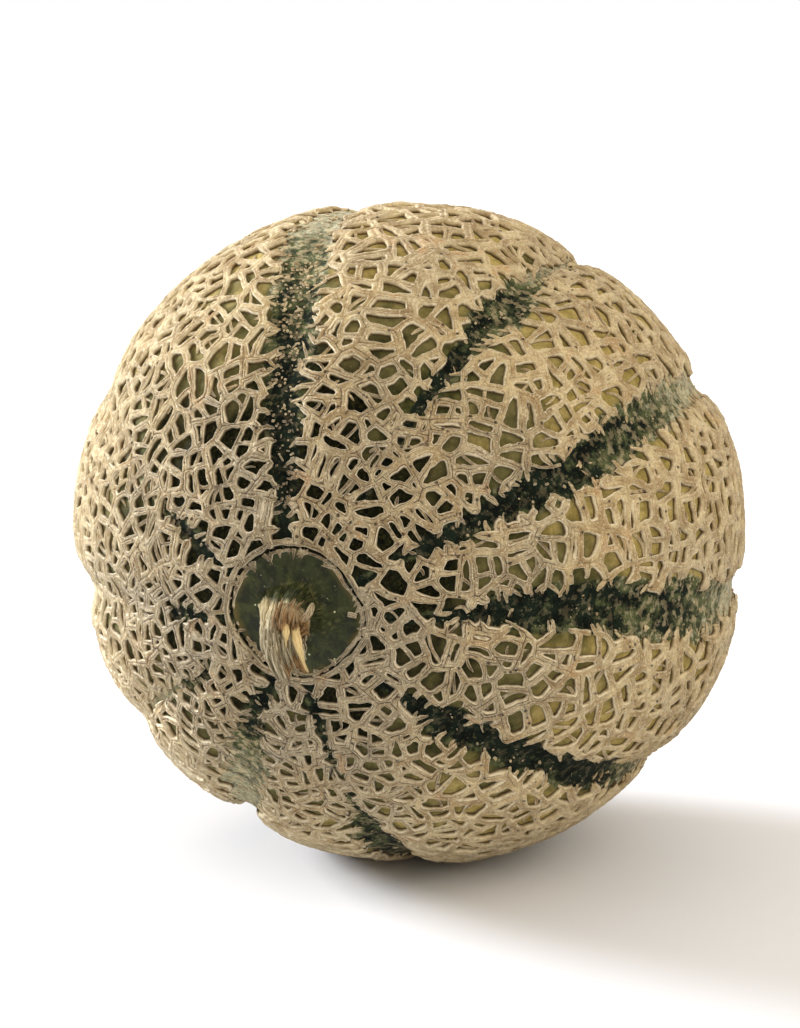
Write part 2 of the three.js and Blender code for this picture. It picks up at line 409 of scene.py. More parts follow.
def build_graph():
    seeds = relax(scatter(), 2)
    verts, ea, eb, el, er, cells = voronoi(seeds)
    gone = merge_short(verts, ea, eb, el, er, cells, 1.5)
    log("coarse cells %d" % len(cells))
    width = [1.0 + 0.14 * rng.standard_normal() for _ in ea]
    level = [0] * len(ea)
    work = list(cells.keys())
    tries = {}
    made = 0
    while work:
        c = work.pop()
        loop = list(cells[c])
        ids = [ea[e] if s > 0 else eb[e] for e, s in loop]
        P = np.array([verts[i] for i in ids])
        cen = P.mean(0)
        cen /= np.linalg.norm(cen)
        e1, e2 = tangent(cen)
        q = to2d(P, cen, e1, e2)
        x, y = q[:, 0], q[:, 1]
        xn, yn = np.roll(x, -1), np.roll(y, -1)
        cr = x * yn - xn * y
        A = cr.sum() / 2
        if abs(A) < 1e-6:
            continue
        g = np.array([((x + xn) * cr).sum(), ((y + yn) * cr).sum()]) / (6 * A)
        A = abs(A)
        gd = to3d(g[None], cen, e1, e2)
        th, az = polar_az(gd)
        dn, k, rib = furrows(th, az)
        target = cell_target(th, dn, gd * R0)[0]
        if A < target * rng.uniform(1.15, 1.8):
            continue
        n = len(ids)
        ahead = direction(th + 0.4, az) - gd
        along = np.array([ahead[0] @ e1, ahead[0] @ e2])
        along = along / np.linalg.norm(along)
        seg = np.roll(q, -1, 0) - q
        L = np.linalg.norm(seg, axis=1)
        mid = (q + np.roll(q, -1, 0)) / 2 - g
        C = (mid[:, :, None] * mid[:, None, :] * L[:, None, None]).sum(0)
        ev, evec = np.linalg.eigh(C)
        major = evec[:, 1]
        if ev[1] < 1.35 * ev[0]:
            ang = rng.uniform(0, math.pi)
            major = np.array([math.cos(ang), math.sin(ang)])
        ext = np.abs((q - g) @ major).max()
        best = None
        for _ in range(14):
            a = rng.normal(0, 0.38)
            nrm = np.array([major[0] * math.cos(a) - major[1] * math.sin(a), major[0] * math.sin(a) + major[1] * math.cos(a)])
            base = g + nrm * rng.uniform(-0.3, 0.3) * ext
            s = (q - base) @ nrm
            sn = np.roll(s, -1)
            hit = np.where((s > 0) != (sn > 0))[0]
            if len(hit) != 2:
                continue
            score = rng.uniform(0, 0.22)
            pts = []
            for i in hit:
                t = s[i] / (s[i] - sn[i])
                pts.append(q[i] + seg[i] * t)
                near = min(t, 1 - t) * L[i]
                score -= 0.30 * max(0.0, 1.7 - near)
            ch = pts[1] - pts[0]
            cl = np.linalg.norm(ch)
            if cl < 1.5:
                continue
            for i in hit:
                sq = abs(ch @ seg[i]) / (cl * L[i] + 1e-9)
                score -= 0.45 * sq * sq
            ca = (ch @ along) / cl
            score += 0.22 * (2 * ca * ca - 1) ** 2
            i, j = int(hit[0]), int(hit[1])
            for poly in ([pts[0]] + [q[m] for m in range(i + 1, j + 1)] + [pts[1]],
                         [pts[1]] + [q[m % n] for m in range(j + 1, i + 1 + n)] + [pts[0]]):
                pl = np.array(poly)
                pn = np.roll(pl, -1, 0)
                ar = abs((pl[:, 0] * pn[:, 1] - pn[:, 0] * pl[:, 1]).sum()) / 2
                per = np.sqrt(((pn - pl) ** 2).sum(1)).sum()
                score += min(0.75, 4 * math.pi * ar / (per * per)) * 1.3
                score -= 0.6 * max(0.0, 0.32 - ar / A)
            if best is None or score > best[0]:
                best = (score, hit, s, sn)
        if best is None:
            tries[c] = tries.get(c, 0) + 1
            if tries[c] < 4:
                work.append(c)
            continue
        _, hit, s, sn = best
        ends = []
        for i in hit:
            t = s[i] / (s[i] - sn[i])
            lo = min(1.5, L[i] * 0.5)
            if min(t, 1 - t) * L[i] < 0.8 and rng.uniform() < 0.05:
                ends.append((i if t < 0.5 else (i + 1) % n, None))
            else:
                ends.append((i, min(max(t, lo / L[i]), 1 - lo / L[i])))
        (i0, t0), (i1, t1) = ends
        bad = False
        if t0 is None and t1 is None:
            bad = i0 == i1 or (i0 + 1) % n == i1 or (i1 + 1) % n == i0
        elif t0 is None:
            bad = i0 == i1 or i0 == (i1 + 1) % n
        elif t1 is None:
            bad = i1 == i0 or i1 == (i0 + 1) % n
        if bad:
            tries[c] = tries.get(c, 0) + 1
            if tries[c] < 4:
                work.append(c)
            continue
        new_ids = []
        for (i, t) in ends:
            if t is None:
                new_ids.append(ids[i])
                continue
            e, sg = loop[i]
            va, vb = (ea[e], eb[e]) if sg > 0 else (eb[e], ea[e])
            p = verts[va] * (1 - t) + verts[vb] * t
            p = p / np.linalg.norm(p)
            vm = len(verts)
            verts.append(p)
            e2i = len(ea)
            ea.append(vm)
            eb.append(eb[e])
            el.append(el[e])
            er.append(er[e])
            width.append(width[e])
            level.append(level[e])
            eb[e] = vm
            for side, sign in ((el[e], 1), (er[e], -1)):
                if side < 0:
                    continue
                lp = cells[side]
                for j, (ee, ss) in enumerate(lp):
                    if ee == e:
                        lp[j:j + 1] = [(e, 1), (e2i, 1)] if ss > 0 else [(e2i, -1), (e, -1)]
                        break
            new_ids.append(vm)
        loop = cells[c]
        ids = [ea[e] if s_ > 0 else eb[e] for e, s_ in loop]
        ja, jb = ids.index(new_ids[0]), ids.index(new_ids[1])
        if ja > jb:
            ja, jb = jb, ja
            new_ids = [new_ids[1], new_ids[0]]
        part1 = loop[ja:jb]
        part2 = loop[jb:] + loop[:ja]
        ne = len(ea)
        lv = max(level[e] for e, s_ in loop) + 1
        ea.append(new_ids[1])
        eb.append(new_ids[0])
        wbase = (0.88, 0.76, 0.66, 0.60, 0.55)[min(lv - 1, 4)]
        width.append(wbase * (1 + 0.17 * rng.standard_normal()))
        level.append(lv)
        nc = len(cells)
        # part1 runs a -> b, closed by the new edge b -> a
        cells[c] = part1 + [(ne, 1)]
        cells[nc] = part2 + [(ne, -1)]
        el.append(c)
        er.append(nc)
        for e, s_ in part2:
            if s_ > 0:
                el[e] = nc
            else:
                er[e] = nc
        work.append(c)
        work.append(nc)
        made += 1
    log("cells %d, edges %d, cuts %d" % (len(cells), len(ea), made))
    return np.array(verts), np.array(ea), np.array(eb), np.array(el), np.array(er), cells, np.array(width), np.array(level)


def warp(d):
    """Small sideways wander of the strands."""
    p = d * R0
    v = np.stack([noise(p, 8.5, 41), noise(p, 8.5, 42), noise(p, 8.5, 43)], -1) * 0.62
    v += np.stack([noise(p, 3.1, 44), noise(p, 3.1, 45), noise(p, 3.1, 46)], -1) * 0.26
    v += np.stack([noise(p, 1.3, 47), noise(p, 1.3, 48), noise(p, 1.3, 49)], -1) * 0.10
    return unit(d + v / R0)


verts, ea, eb, el, er, cells, ewidth, elevel = build_graph()

# samples: graph vertices first, then the inner points of every edge
STEP = 0.95
samples = [verts]
edge_pts = []
nxt = len(verts)
for e in range(len(ea)):
    A, B = verts[ea[e]], verts[eb[e]]
    if ea[e] == eb[e]:
        edge_pts.append([int(ea[e])])
        continue
    length = math.acos(max(-1, min(1, float(A @ B)))) * R0
    n = max(1, int(round(length / STEP)))
    if n > 1:
        t = (np.arange(1, n) / n)[:, None]
        p = unit(A * (1 - t) + B * t)
        side = np.cross(A, B)
        nl = np.linalg.norm(side)
        if nl > 1e-9:
            bow = rng.normal(0, 0.045) * length / R0
            p = unit(p + side / nl * bow * np.sin(math.pi * t))
        samples.append(p)
    edge_pts.append([int(ea[e])] + list(range(nxt, nxt + n - 1)) + [int(eb[e])])
    nxt += n - 1
S = warp(np.concatenate(samples))
NS = len(S)
log("samples %d" % NS)

sth, saz = polar_az(S)
sdn, sk, srib = furrows(sth, saz)
sp = S * R0
shb = band_half(sth, sk, sp)
sdn = sdn - table(SHIFT, sth, sk)
plate_mm = sth * DEG * ALONG
# how much of its full width a strand has at each place
edge_noise = (0.50 + 0.20 * shb) * noise(sp, 2.6, 51) + (0.45 + 0.10 * shb) * noise(sp, 1.1, 52)
edge_noise = np.where(edge_noise > 0, edge_noise * smooth(0.40 * shb, 0.92 * shb + 0.01, np.abs(sdn)), edge_noise)
sfac = np.where(shb > 0.15, smooth(shb - 0.10, shb + 0.75, np.abs(sdn) + edge_noise), 1.0)
sfac = sfac * smooth(PLATE_R + 0.2, PLATE_R + 1.0, plate_mm)
sfac = sfac * (0.84 + 0.16 * smooth(40, 66, sth))
sfac = sfac * (1 + 0.30 * noise(sp, 11.0, 53) + 0.26 * noise(sp, 3.2, 54) + 0.18 * noise(sp, 1.3, 55))

# segments of all edges
seg_a, seg_b, seg_e = [], [], []
edge_seg = []
for e, pts in enumerate(edge_pts):
    edge_seg.append(np.arange(len(seg_a), len(seg_a) + len(pts) - 1))
    seg_a += pts[:-1]
    seg_b += pts[1:]
    seg_e += [e] * (len(pts) - 1)
seg_a = np.array(seg_a)
seg_b = np.array(seg_b)
seg_e = np.array(seg_e)
WCAL = 0.97
wa_all = np.maximum(ewidth[seg_e] * sfac[seg_a] * WCAL, 0.001)
wb_all = np.maximum(ewidth[seg_e] * sfac[seg_b] * WCAL, 0.001)

# short bits of the net that hang on to nothing are sunk with the rest
tie = np.minimum(wa_all, wb_all) > 0.26
lab = np.arange(NS)
for _ in range(500):
    low = np.minimum(lab[seg_a[tie]], lab[seg_b[tie]])
    nlab = lab.copy()
    np.minimum.at(nlab, seg_a[tie], low)
    np.minimum.at(nlab, seg_b[tie], low)
    nlab = nlab[nlab]
    if (nlab == lab).all():
        break
    lab = nlab
lsize = np.bincount(lab, minlength=NS)[lab]
loose = (lsize > 1) & (lsize < 16)
log("loose samples of the net %d" % int(loose.sum()))
sfac[loose] = 0.0
wa_all = np.maximum(ewidth[seg_e] * sfac[seg_a] * WCAL, 0.001)
wb_all = np.maximum(ewidth[seg_e] * sfac[seg_b] * WCAL, 0.001)
tie = np.minimum(wa_all, wb_all) > 0.30
strong = np.zeros(NS, dtype=bool)
strong[seg_a[tie]] = True
strong[seg_b[tie]] = True


def field(P, A, B, wa, wb):
    AB = B - A
    L2 = (AB * AB).sum(1) + 1e-9
    PA = P[:, None, :] - A[None]
    t = np.clip((PA * AB[None]).sum(2) / L2, 0, 1)
    dv = PA - t[..., None] * AB[None]
    d2 = (dv * dv).sum(2) + 2.5e-4
    w = wa + t * (wb - wa)
    x = w * w / d2
    x = np.minimum(x, 1e6)
    x = x * x * x * x * x
    Ssum = x.sum(1) + 1e-40
    F = Ssum ** (-1.0 / 10.0)
    W = (x * w).sum(1) / Ssum
    return F, W


# cross-section of a strand: share of the half width, share of the height
LEVELS = np.array([0.0, 0.17, 0.54, 0.83, 0.97, 1.12])
PROF_F = np.array([0.0, 0.17, 0.54, 0.83, 0.97, 1.12, 1.6, 9.0])
PROF_Z = np.array([0.78, 0.92, 1.0, 0.93, 0.50, -0.60, -0.8, -0.9])
HEIGHT = 1.10


def height_of(F, W, hfac):
    z = np.interp(F, PROF_F, PROF_Z)
    H = HEIGHT * hfac * np.clip(W / 0.85, 0.0, 1.25) ** 0.6
    sink = 0.9 * (1 - smooth(0.10, 0.42, W))
    return z * H - sink


cell_ids = list(cells.keys())
cell_edges = {c: [e for e, s in cells[c]] for c in cell_ids}
z0 = np.full(NS, np.nan)
q0 = np.zeros(NS)
out = [dict(verts=[], z=[], q=[], d=[], faces=[], smap={}, n=0) for _ in range(NR)]
hole_list = []
TN = 15
tu = np.linspace(0, 1, TN) ** 0.8

for c in cell_ids:
    loop = cells[c]
    ring = []
    for e, s in loop:
        pts = edge_pts[e]
        ring += pts[:-1] if s > 0 else pts[:0:-1]
    ring = np.array(ring)
    M = len(ring)
    if M < 3:
        continue
    D = S[ring]
    cen = D.mean(0)
    cen /= np.linalg.norm(cen)
    e1, e2 = tangent(cen)
    b = to2d(D, cen, e1, e2)
    # segments of this cell and its neighbours
    near = set(cell_edges[c])
    for e, s in loop:
        o = er[e] if s > 0 else el[e]
        if o >= 0:
            near.update(cell_edges[int(o)])
    sg = np.concatenate([edge_seg[e] for e in sorted(near)])
    A = to2d(S[seg_a[sg]], cen, e1, e2)
    B = to2d(S[seg_b[sg]], cen, e1, e2)
    wa, wb = wa_all[sg], wb_all[sg]
    rad = np.sqrt((b * b).sum(1)).max() + 2.6
    keep = np.minimum((A * A).sum(1), (B * B).sum(1)) < rad * rad
    A, B, wa, wb = A[keep], B[keep], wa[keep], wb[keep]
    xn = np.roll(b, -1, 0)
    cr = b[:, 0] * xn[:, 1] - xn[:, 0] * b[:, 1]
    area = cr.sum() / 2
    if abs(area) < 0.05:
        log("tiny cell left out, %.3f mm2" % area)
        continue
    if area < 0:
        ring = ring[::-1]
        b = b[::-1]
        xn = np.roll(b, -1, 0)
        cr = b[:, 0] * xn[:, 1] - xn[:, 0] * b[:, 1]
        area = -area
    g = np.array([((b[:, 0] + xn[:, 0]) * cr).sum(), ((b[:, 1] + xn[:, 1]) * cr).sum()]) / (6 * area)
    cand = np.concatenate([g[None], g + (b - g) * 0.22, g + (b - g) * 0.42])
    Fc, Wc = field(cand, A, B, wa, wb)
    score = Fc - 0.12 * np.linalg.norm(cand - g, axis=1)
    ci = int(np.argmax(score))
    ctr = cand[ci]
    fc, wc = Fc[ci], Wc[ci]
    # rays from the middle to the ring
    P = ctr[None, None] + (b - ctr)[:, None, :] * tu[None, :, None]
    F, W = field(P.reshape(-1, 2), A, B, wa, wb)
    P3 = to3d(P.reshape(-1, 2), cen, e1, e2) * R0
    F = F * (1 + 0.13 * noise(P3, 1.5, 57) + 0.08 * noise(P3, 0.7, 58))
    F = F.reshape(M, TN)
    W = W.reshape(M, TN)
    cd = to3d(ctr[None], cen, e1, e2)
    cth, caz = polar_az(cd)
    cdn, ck, crib = furrows(cth, caz)
    R = out[int(crib[0])]
    hfac = 1.0 - 0.18 * (1 - float(smooth(14, 26, cth[0])))
    # shared ring 0
    fresh = np.isnan(z0[ring])
    if fresh.any():
        zz = height_of(F[:, -1], W[:, -1], 1.0)
        z0[ring[fresh]] = zz[fresh]
        q0[ring[fresh]] = np.minimum(F[:, -1], 3.0)[fresh]
    idx = np.empty((len(LEVELS), M), dtype=np.int64)
    sm = R["smap"]
    for i, r_ in enumerate(ring):
        r_ = int(r_)
        if r_ not in sm:
            sm[r_] = R["n"]
            R["verts"].append(S[r_])
            R["z"].append(z0[r_])
            R["q"].append(q0[r_])
            R["d"].append(0.0 if q0[r_] < 0.3 else 0.8)
            R["n"] += 1
        idx[0, i] = sm[r_]
    collapsed = False
    rows = 1
    for j in range(1, len(LEVELS)):
        lv = LEVELS[j]
        if fc <= lv:
            collapsed = True
            break
        below = F < lv
        has = below.any(1)
        first = np.argmax(below, axis=1)
        f1 = np.take_along_axis(F, first[:, None], 1)[:, 0]
        f0 = np.take_along_axis(F, np.maximum(first - 1, 0)[:, None], 1)[:, 0]
        t1 = tu[first]
        t0_ = tu[np.maximum(first - 1, 0)]
        t = np.where(has, t0_ + (t1 - t0_) * np.clip((f0 - lv) / np.maximum(f0 - f1, 1e-9), 0, 1), 1.0)
        W1 = np.take_along_axis(W, first[:, None], 1)[:, 0]
        W0 = np.take_along_axis(W, np.maximum(first - 1, 0)[:, None], 1)[:, 0]
        Wl = np.where(has, 0.5 * (W0 + W1), W[:, -1])
        pts = ctr + (b - ctr) * t[:, None]
        dirs = to3d(pts, cen, e1, e2)
        zz = height_of(np.full(M, lv), Wl, hfac)
        n0 = R["n"]
        row = np.arange(n0, n0 + M)
        row = np.where(has, row, idx[0])
        R["verts"].extend(dirs)
        R["z"].extend(zz)
        R["q"].extend([lv] * M)
        R["d"].extend(list(lv * Wl))
        R["n"] += M
        idx[j] = row
        rows += 1
    nxti = np.roll(np.arange(M), -1)
    for j in range(rows - 1):
        a, b_, c_, d_ = idx[j], idx[j][nxti], idx[j + 1][nxti], idx[j + 1]
        R["faces"].append(np.stack([a, b_, c_, d_], 1))
    if collapsed:
        n0 = R["n"]
        zc = float(height_of(np.array([fc]), np.array([wc]), hfac)[0])
        R["verts"].append(cd[0])
        R["z"].append(zc)
        R["q"].append(float(min(fc, 3.0)))
        R["d"].append(float(fc * wc))
        R["n"] += 1
        a, b_ = idx[rows - 1], idx[rows - 1][nxti]
        R["faces"].append(np.stack([a, b_, np.full(M, n0), np.full(M, n0)], 1))
    else:
        hole_list.append((cd[0], cen, e1, e2, ctr, b, F, int(crib[0]), float(area)))
log("cells meshed, holes %d" % len(hole_list))


def add_mesh(name, pos, faces, attrs=None, mat=None, smooth_shade=True):
    """faces: (n,4) with repeated corners for triangles."""
    me = bpy.data.meshes.new(name)
    q = np.asarray(faces)
    tri = (q[:, 2] == q[:, 3])
    counts = np.where(tri, 3, 4)
    loops = q.reshape(-1)
    mask = np.ones((len(q), 4), bool)
    mask[tri, 3] = False
    loops = loops[mask.reshape(-1)]
    starts = np.concatenate([[0], np.cumsum(counts)[:-1]])
    me.vertices.add(len(pos))
    me.vertices.foreach_set("co", np.asarray(pos, dtype=np.float32).reshape(-1))
    me.loops.add(len(loops))
    me.loops.foreach_set("vertex_index", loops.astype(np.int32))
    me.polygons.add(len(q))
    me.polygons.foreach_set("loop_start", starts.astype(np.int32))
    me.polygons.foreach_set("use_smooth", np.full(len(q), smooth_shade))
    me.update(calc_edges=True)
    for k, v in (attrs or {}).items():
        at = me.attributes.new(k, "FLOAT", "POINT")
        at.data.foreach_set("value", np.asarray(v, dtype=np.float32))
    ob = bpy.data.objects.new(name, me)
    bpy.context.scene.collection.objects.link(ob)
    if mat is not None:
        me.materials.append(mat)
    return ob


def clean_faces(faces, drop):
    """Take out repeated corners and faces wholly under the skin."""
    f = faces.copy()
    # order the corners so that repeats come last
    good = []
    a, b, c, d = f.T
    ab, bc, cd_, da = a == b, b == c, c == d, d == a
    ntri = ab.astype(int) + bc + cd_ + da
    ac, bd = a == c, b == d
    ok = (ntri <= 1) & ~ac & ~bd
    f = f[ok]
    a, b, c, d = f.T
    ab, bc, cd_, da = a == b, b == c, c == d, d == a
    # rotate so that the repeat is at c,d
    out_f = f.copy()
    r = ab
    out_f[r] = f[r][:, [2, 3, 0, 1]]
    r = bc
    out_f[r] = f[r][:, [3, 0, 1, 2]]
    r = da
    out_f[r] = f[r][:, [1, 2, 3, 0]]
    low = drop[out_f].all(1)
    return out_f[~low]


NETS = []
total = 0
for k in range(NR):
    R = out[k]
    V = np.array(R["verts"])
    Z = np.array(R["z"])
    Q = np.array(R["q"])
    DD = np.array(R["d"])
    Fc_ = np.concatenate(R["faces"])
    Fc_ = clean_faces(Fc_, Z < -0.12)
    used = np.unique(Fc_)
    remap = np.full(len(V), -1)
    remap[used] = np.arange(len(used))
    Fc_ = remap[Fc_]
    V, Z, Q, DD = V[used], Z[used], Q[used], DD[used]
    # rough, crumbled tops and sides
    P_ = V * R0
    Z = Z + (0.15 * noise(P_, 2.0, 65) + 0.12 * noise(P_, 0.9, 66)) * np.where(Q < 1.05, 1.0, 0.0) * smooth(0.0, 0.35, Z)
    V = unit(V + np.stack([noise(P_, 0.9, 67), noise(P_, 0.9, 68), noise(P_, 0.9, 69)], -1) * (0.13 / R0))
    NETS.append(dict(V=V, Z=Z, Q=Q, D=DD, F=Fc_))
    tri = (Fc_[:, 2] == Fc_[:, 3]).sum()
    n = len(Fc_) * 2 - tri
    total += n
log("net triangles %d" % total)

# ------------------------------------------------------------------ materials
def lin(r, g, b):
    """sRGB 0-255 to the linear colour a node socket takes."""
    out_ = []
    for c in (r, g, b):
        c = c / 255.0
        out_.append(c / 12.92 if c <= 0.04045 else ((c + 0.055) / 1.055) ** 2.4)
    return (out_[0], out_[1], out_[2], 1.0)


class Shade:
    """Small helper for building one procedural material."""

    def __init__(self, name):
        self.mat = bpy.data.materials.new(name)
        self.mat.use_nodes = True
        self.nt = self.mat.node_tree
        self.bsdf = self.nt.nodes["Principled BSDF"]
        self.pos = self.nt.nodes.new("ShaderNodeTexCoord").outputs["Object"]

    def put(self, socket, value):
        if isinstance(value, bpy.types.NodeSocket):
            self.nt.links.new(value, socket)
        else:
            socket.default_value = value

    def attr(self, name):
        n = self.nt.nodes.new("ShaderNodeAttribute")
        n.attribute_name = name
        return n.outputs["Fac"]

    def vec(self, x, y, z):
        n = self.nt.nodes.new("ShaderNodeCombineXYZ")
        for i, v in enumerate((x, y, z)):
            self.put(n.inputs[i], v)
        return n.outputs[0]

    def noise(self, scale, detail=2.0, rough=0.5, vector=None, distortion=0.0):
        """0..1, centred on 0.5; scale is in cycles per metre for object coordinates."""
        n = self.nt.nodes.new("ShaderNodeTexNoise")
        n.inputs["Scale"].default_value = scale
        n.inputs["Detail"].default_value = detail
        n.inputs["Roughness"].default_value = rough
        n.inputs["Distortion"].default_value = distortion
        self.put(n.inputs["Vector"], vector if vector is not None else self.pos)
        return n.outputs["Fac"]

    def voronoi(self, scale, vector=None, feature="F1", randomness=1.0):
        n = self.nt.nodes.new("ShaderNodeTexVoronoi")
        n.feature = feature
        n.inputs["Scale"].default_value = scale
        n.inputs["Randomness"].default_value = randomness
        self.put(n.inputs["Vector"], vector if vector is not None else self.pos)
        return n.outputs["Distance"]

    def math(self, op, a, b=0.0, clamp=False):
        n = self.nt.nodes.new("ShaderNodeMath")
        n.operation = op
        n.use_clamp = clamp
        self.put(n.inputs[0], a)
        self.put(n.inputs[1], b)
        return n.outputs[0]

    def step(self, x, a, b, lo=0.0, hi=1.0):
        """Smooth change from lo to hi as x goes from a to b."""
        n = self.nt.nodes.new("ShaderNodeMapRange")
        n.interpolation_type = "SMOOTHSTEP"
        self.put(n.inputs["Value"], x)
        if a > b:
            a, b, lo, hi = b, a, hi, lo
        n.inputs["From Min"].default_value = a
        n.inputs["From Max"].default_value = b
        n.inputs["To Min"].default_value = lo
        n.inputs["To Max"].default_value = hi
        return n.outputs["Result"]

    def mul(self, *xs):
        out_ = xs[0]
        for x in xs[1:]:
            out_ = self.math("MULTIPLY", out_, x)
        return out_

    def mix(self, fac, a, b, mode="MIX"):
        n = self.nt.nodes.new("ShaderNodeMix")
        n.data_type = "RGBA"
        n.blend_type = mode
        n.clamp_factor = True
        self.put(n.inputs[0], fac)
        self.put(n.inputs[6], a)
        self.put(n.inputs[7], b)
        return n.outputs[2]

    def bump(self, height, strength, distance, normal=None):
        n = self.nt.nodes.new("ShaderNodeBump")
        n.inputs["Strength"].default_value = strength
        n.inputs["Distance"].default_value = distance
        self.put(n.inputs["Height"], height)
        if normal is not None:
            self.put(n.inputs["Normal"], normal)
        return n.outputs["Normal"]

    def done(self, color, rough, normal=None, spec=0.35, sheen=0.0):
        self.put(self.bsdf.inputs["Base Color"], color)
        self.put(self.bsdf.inputs["Roughness"], rough)
        self.bsdf.inputs["Specular IOR Level"].default_value = spec
        if sheen > 0:
            self.bsdf.inputs["Sheen Weight"].default_value = sheen
            self.bsdf.inputs["Sheen Roughness"].default_value = 0.35
        if normal is not None:
            self.put(self.bsdf.inputs["Normal"], normal)
        return self.mat


def cork_material():
    s = Shade("cork_net")
    q = s.attr("q")
    d = s.attr("dmm")
    th = s.attr("th")
    big = s.noise(48.0, 2.0)
    mid = s.noise(240.0, 3.0, 0.55)
    fine = s.noise(1300.0, 4.0, 0.6)
    speck = s.noise(4200.0, 2.0, 0.6)
    warm = s.mix(s.step(mid, 0.36, 0.64), lin(172, 147, 104), lin(226, 206, 161))
    cool = s.mix(s.step(mid, 0.36, 0.64), lin(150, 140, 116), lin(198, 187, 160))
    near = s.step(th, 58.0, 16.0)
    tone = s.math("ADD", s.mul(near, 0.75), s.step(big, 0.40, 0.66, -0.22, 0.34), clamp=True)
    col = s.mix(tone, warm, cool)
    col = s.mix(s.step(fine, 0.36, 0.66, 0.0, 0.42), col, lin(150, 118, 80))
    # rubbed, orange-brown places
    scar = s.mul(s.step(s.noise(120.0, 2.0, 0.5, distortion=0.6), 0.61, 0.72), s.step(mid, 0.40, 0.55, 0.15, 0.5))
    col = s.mix(scar, col, lin(182, 134, 80))
    # pale lips at both sides of a strand: partly the cork's own pale edge, partly a painted highlight
    lip_highlight_noise = s.step(s.noise(420.0, 2.0), 0.34, 0.60, 0.35, 1.0)
    lip_and_highlight = s.mul(s.step(q, 0.70, 0.83), s.step(q, 1.00, 0.93), lip_highlight_noise, s.step(th, 78.0, 44.0, 0.30, 1.0))
    col = s.mix(lip_and_highlight, col, s.mix(near, lin(246, 233, 202), lin(224, 210, 182)))
    # growth lines that follow the strand
    fade = s.step(th, 58.0, 30.0, 0.18, 1.0)
    wob = s.math("ADD", d, s.mul(s.noise(700.0, 2.0), 0.34))
    wave = s.math("SINE", s.mul(wob, 17.0))
    line = s.mul(s.step(wave, 0.55, 0.95), s.step(q, 0.12, 0.3), s.step(q, 0.98, 0.80), s.step(mid, 0.42, 0.58, 0.08, 0.66), fade)
    col = s.mix(line, col, lin(120, 90, 58))
    gq = s.math("ADD", q, s.mul(s.math("SUBTRACT", s.noise(620.0, 2.0), 0.5), 0.22))
    groove = s.mul(s.step(gq, 0.54, 0.62), s.step(gq, 0.76, 0.68), s.step(s.noise(210.0, 2.0), 0.42, 0.58, 0.08, 0.88), fade)
    col = s.mix(groove, col, lin(100, 74, 46))
    # split along the middle
    cw = s.math("ADD", d, s.mul(s.noise(950.0, 2.0), 0.10))
    crack = s.mul(s.step(cw, 0.190, 0.095), s.step(s.noise(330.0, 2.0), 0.42, 0.58, 0.05, 0.86), fade)
    col = s.mix(crack, col, lin(80, 57, 34))
    # painted shade on the steep foot of the strand
    col = s.mix(s.step(q, 0.95, 1.04, 0.0, 0.95), col, lin(58, 44, 22))
    col = s.mix(s.step(speck, 0.62, 0.72, 0.0, 0.62), col, lin(112, 84, 56))
    crust = s.noise(2300.0, 3.0, 0.65)
    col = s.mix(s.mul(s.step(crust, 0.55, 0.66), s.step(q, 0.95, 0.85), 0.66), col, lin(247, 233, 203))
    # small pits where strands meet, darkened with painted shade
    pit_and_shade = s.mul(s.step(s.voronoi(560.0), 0.24, 0.15), s.step(s.noise(300.0, 2.0), 0.50, 0.58), s.step(q, 0.80, 0.55))
    col = s.mix(s.mul(pit_and_shade, 0.85), col, lin(52, 38, 22))
    h = s.math("ADD", s.mul(fine, 1.0), s.mul(speck, 0.4))
    h = s.math("ADD", h, s.mul(crust, 0.5))
    h = s.math("ADD", h, s.mul(s.noise(760.0, 2.0), 0.8))
    h = s.math("SUBTRACT", h, s.mul(line, 0.55))
    h = s.math("SUBTRACT", h, s.mul(crack, 0.9))
    h = s.math("SUBTRACT", h, s.mul(groove, 0.8))
    h = s.math("SUBTRACT", h, s.mul(pit_and_shade, 1.2))
    nrm = s.bump(h, 0.9, 0.00042)
    rough = s.step(fine, 0.3, 0.7, 0.78, 0.95)
    return s.done(col, rough, nrm, 0.22, 0.30)


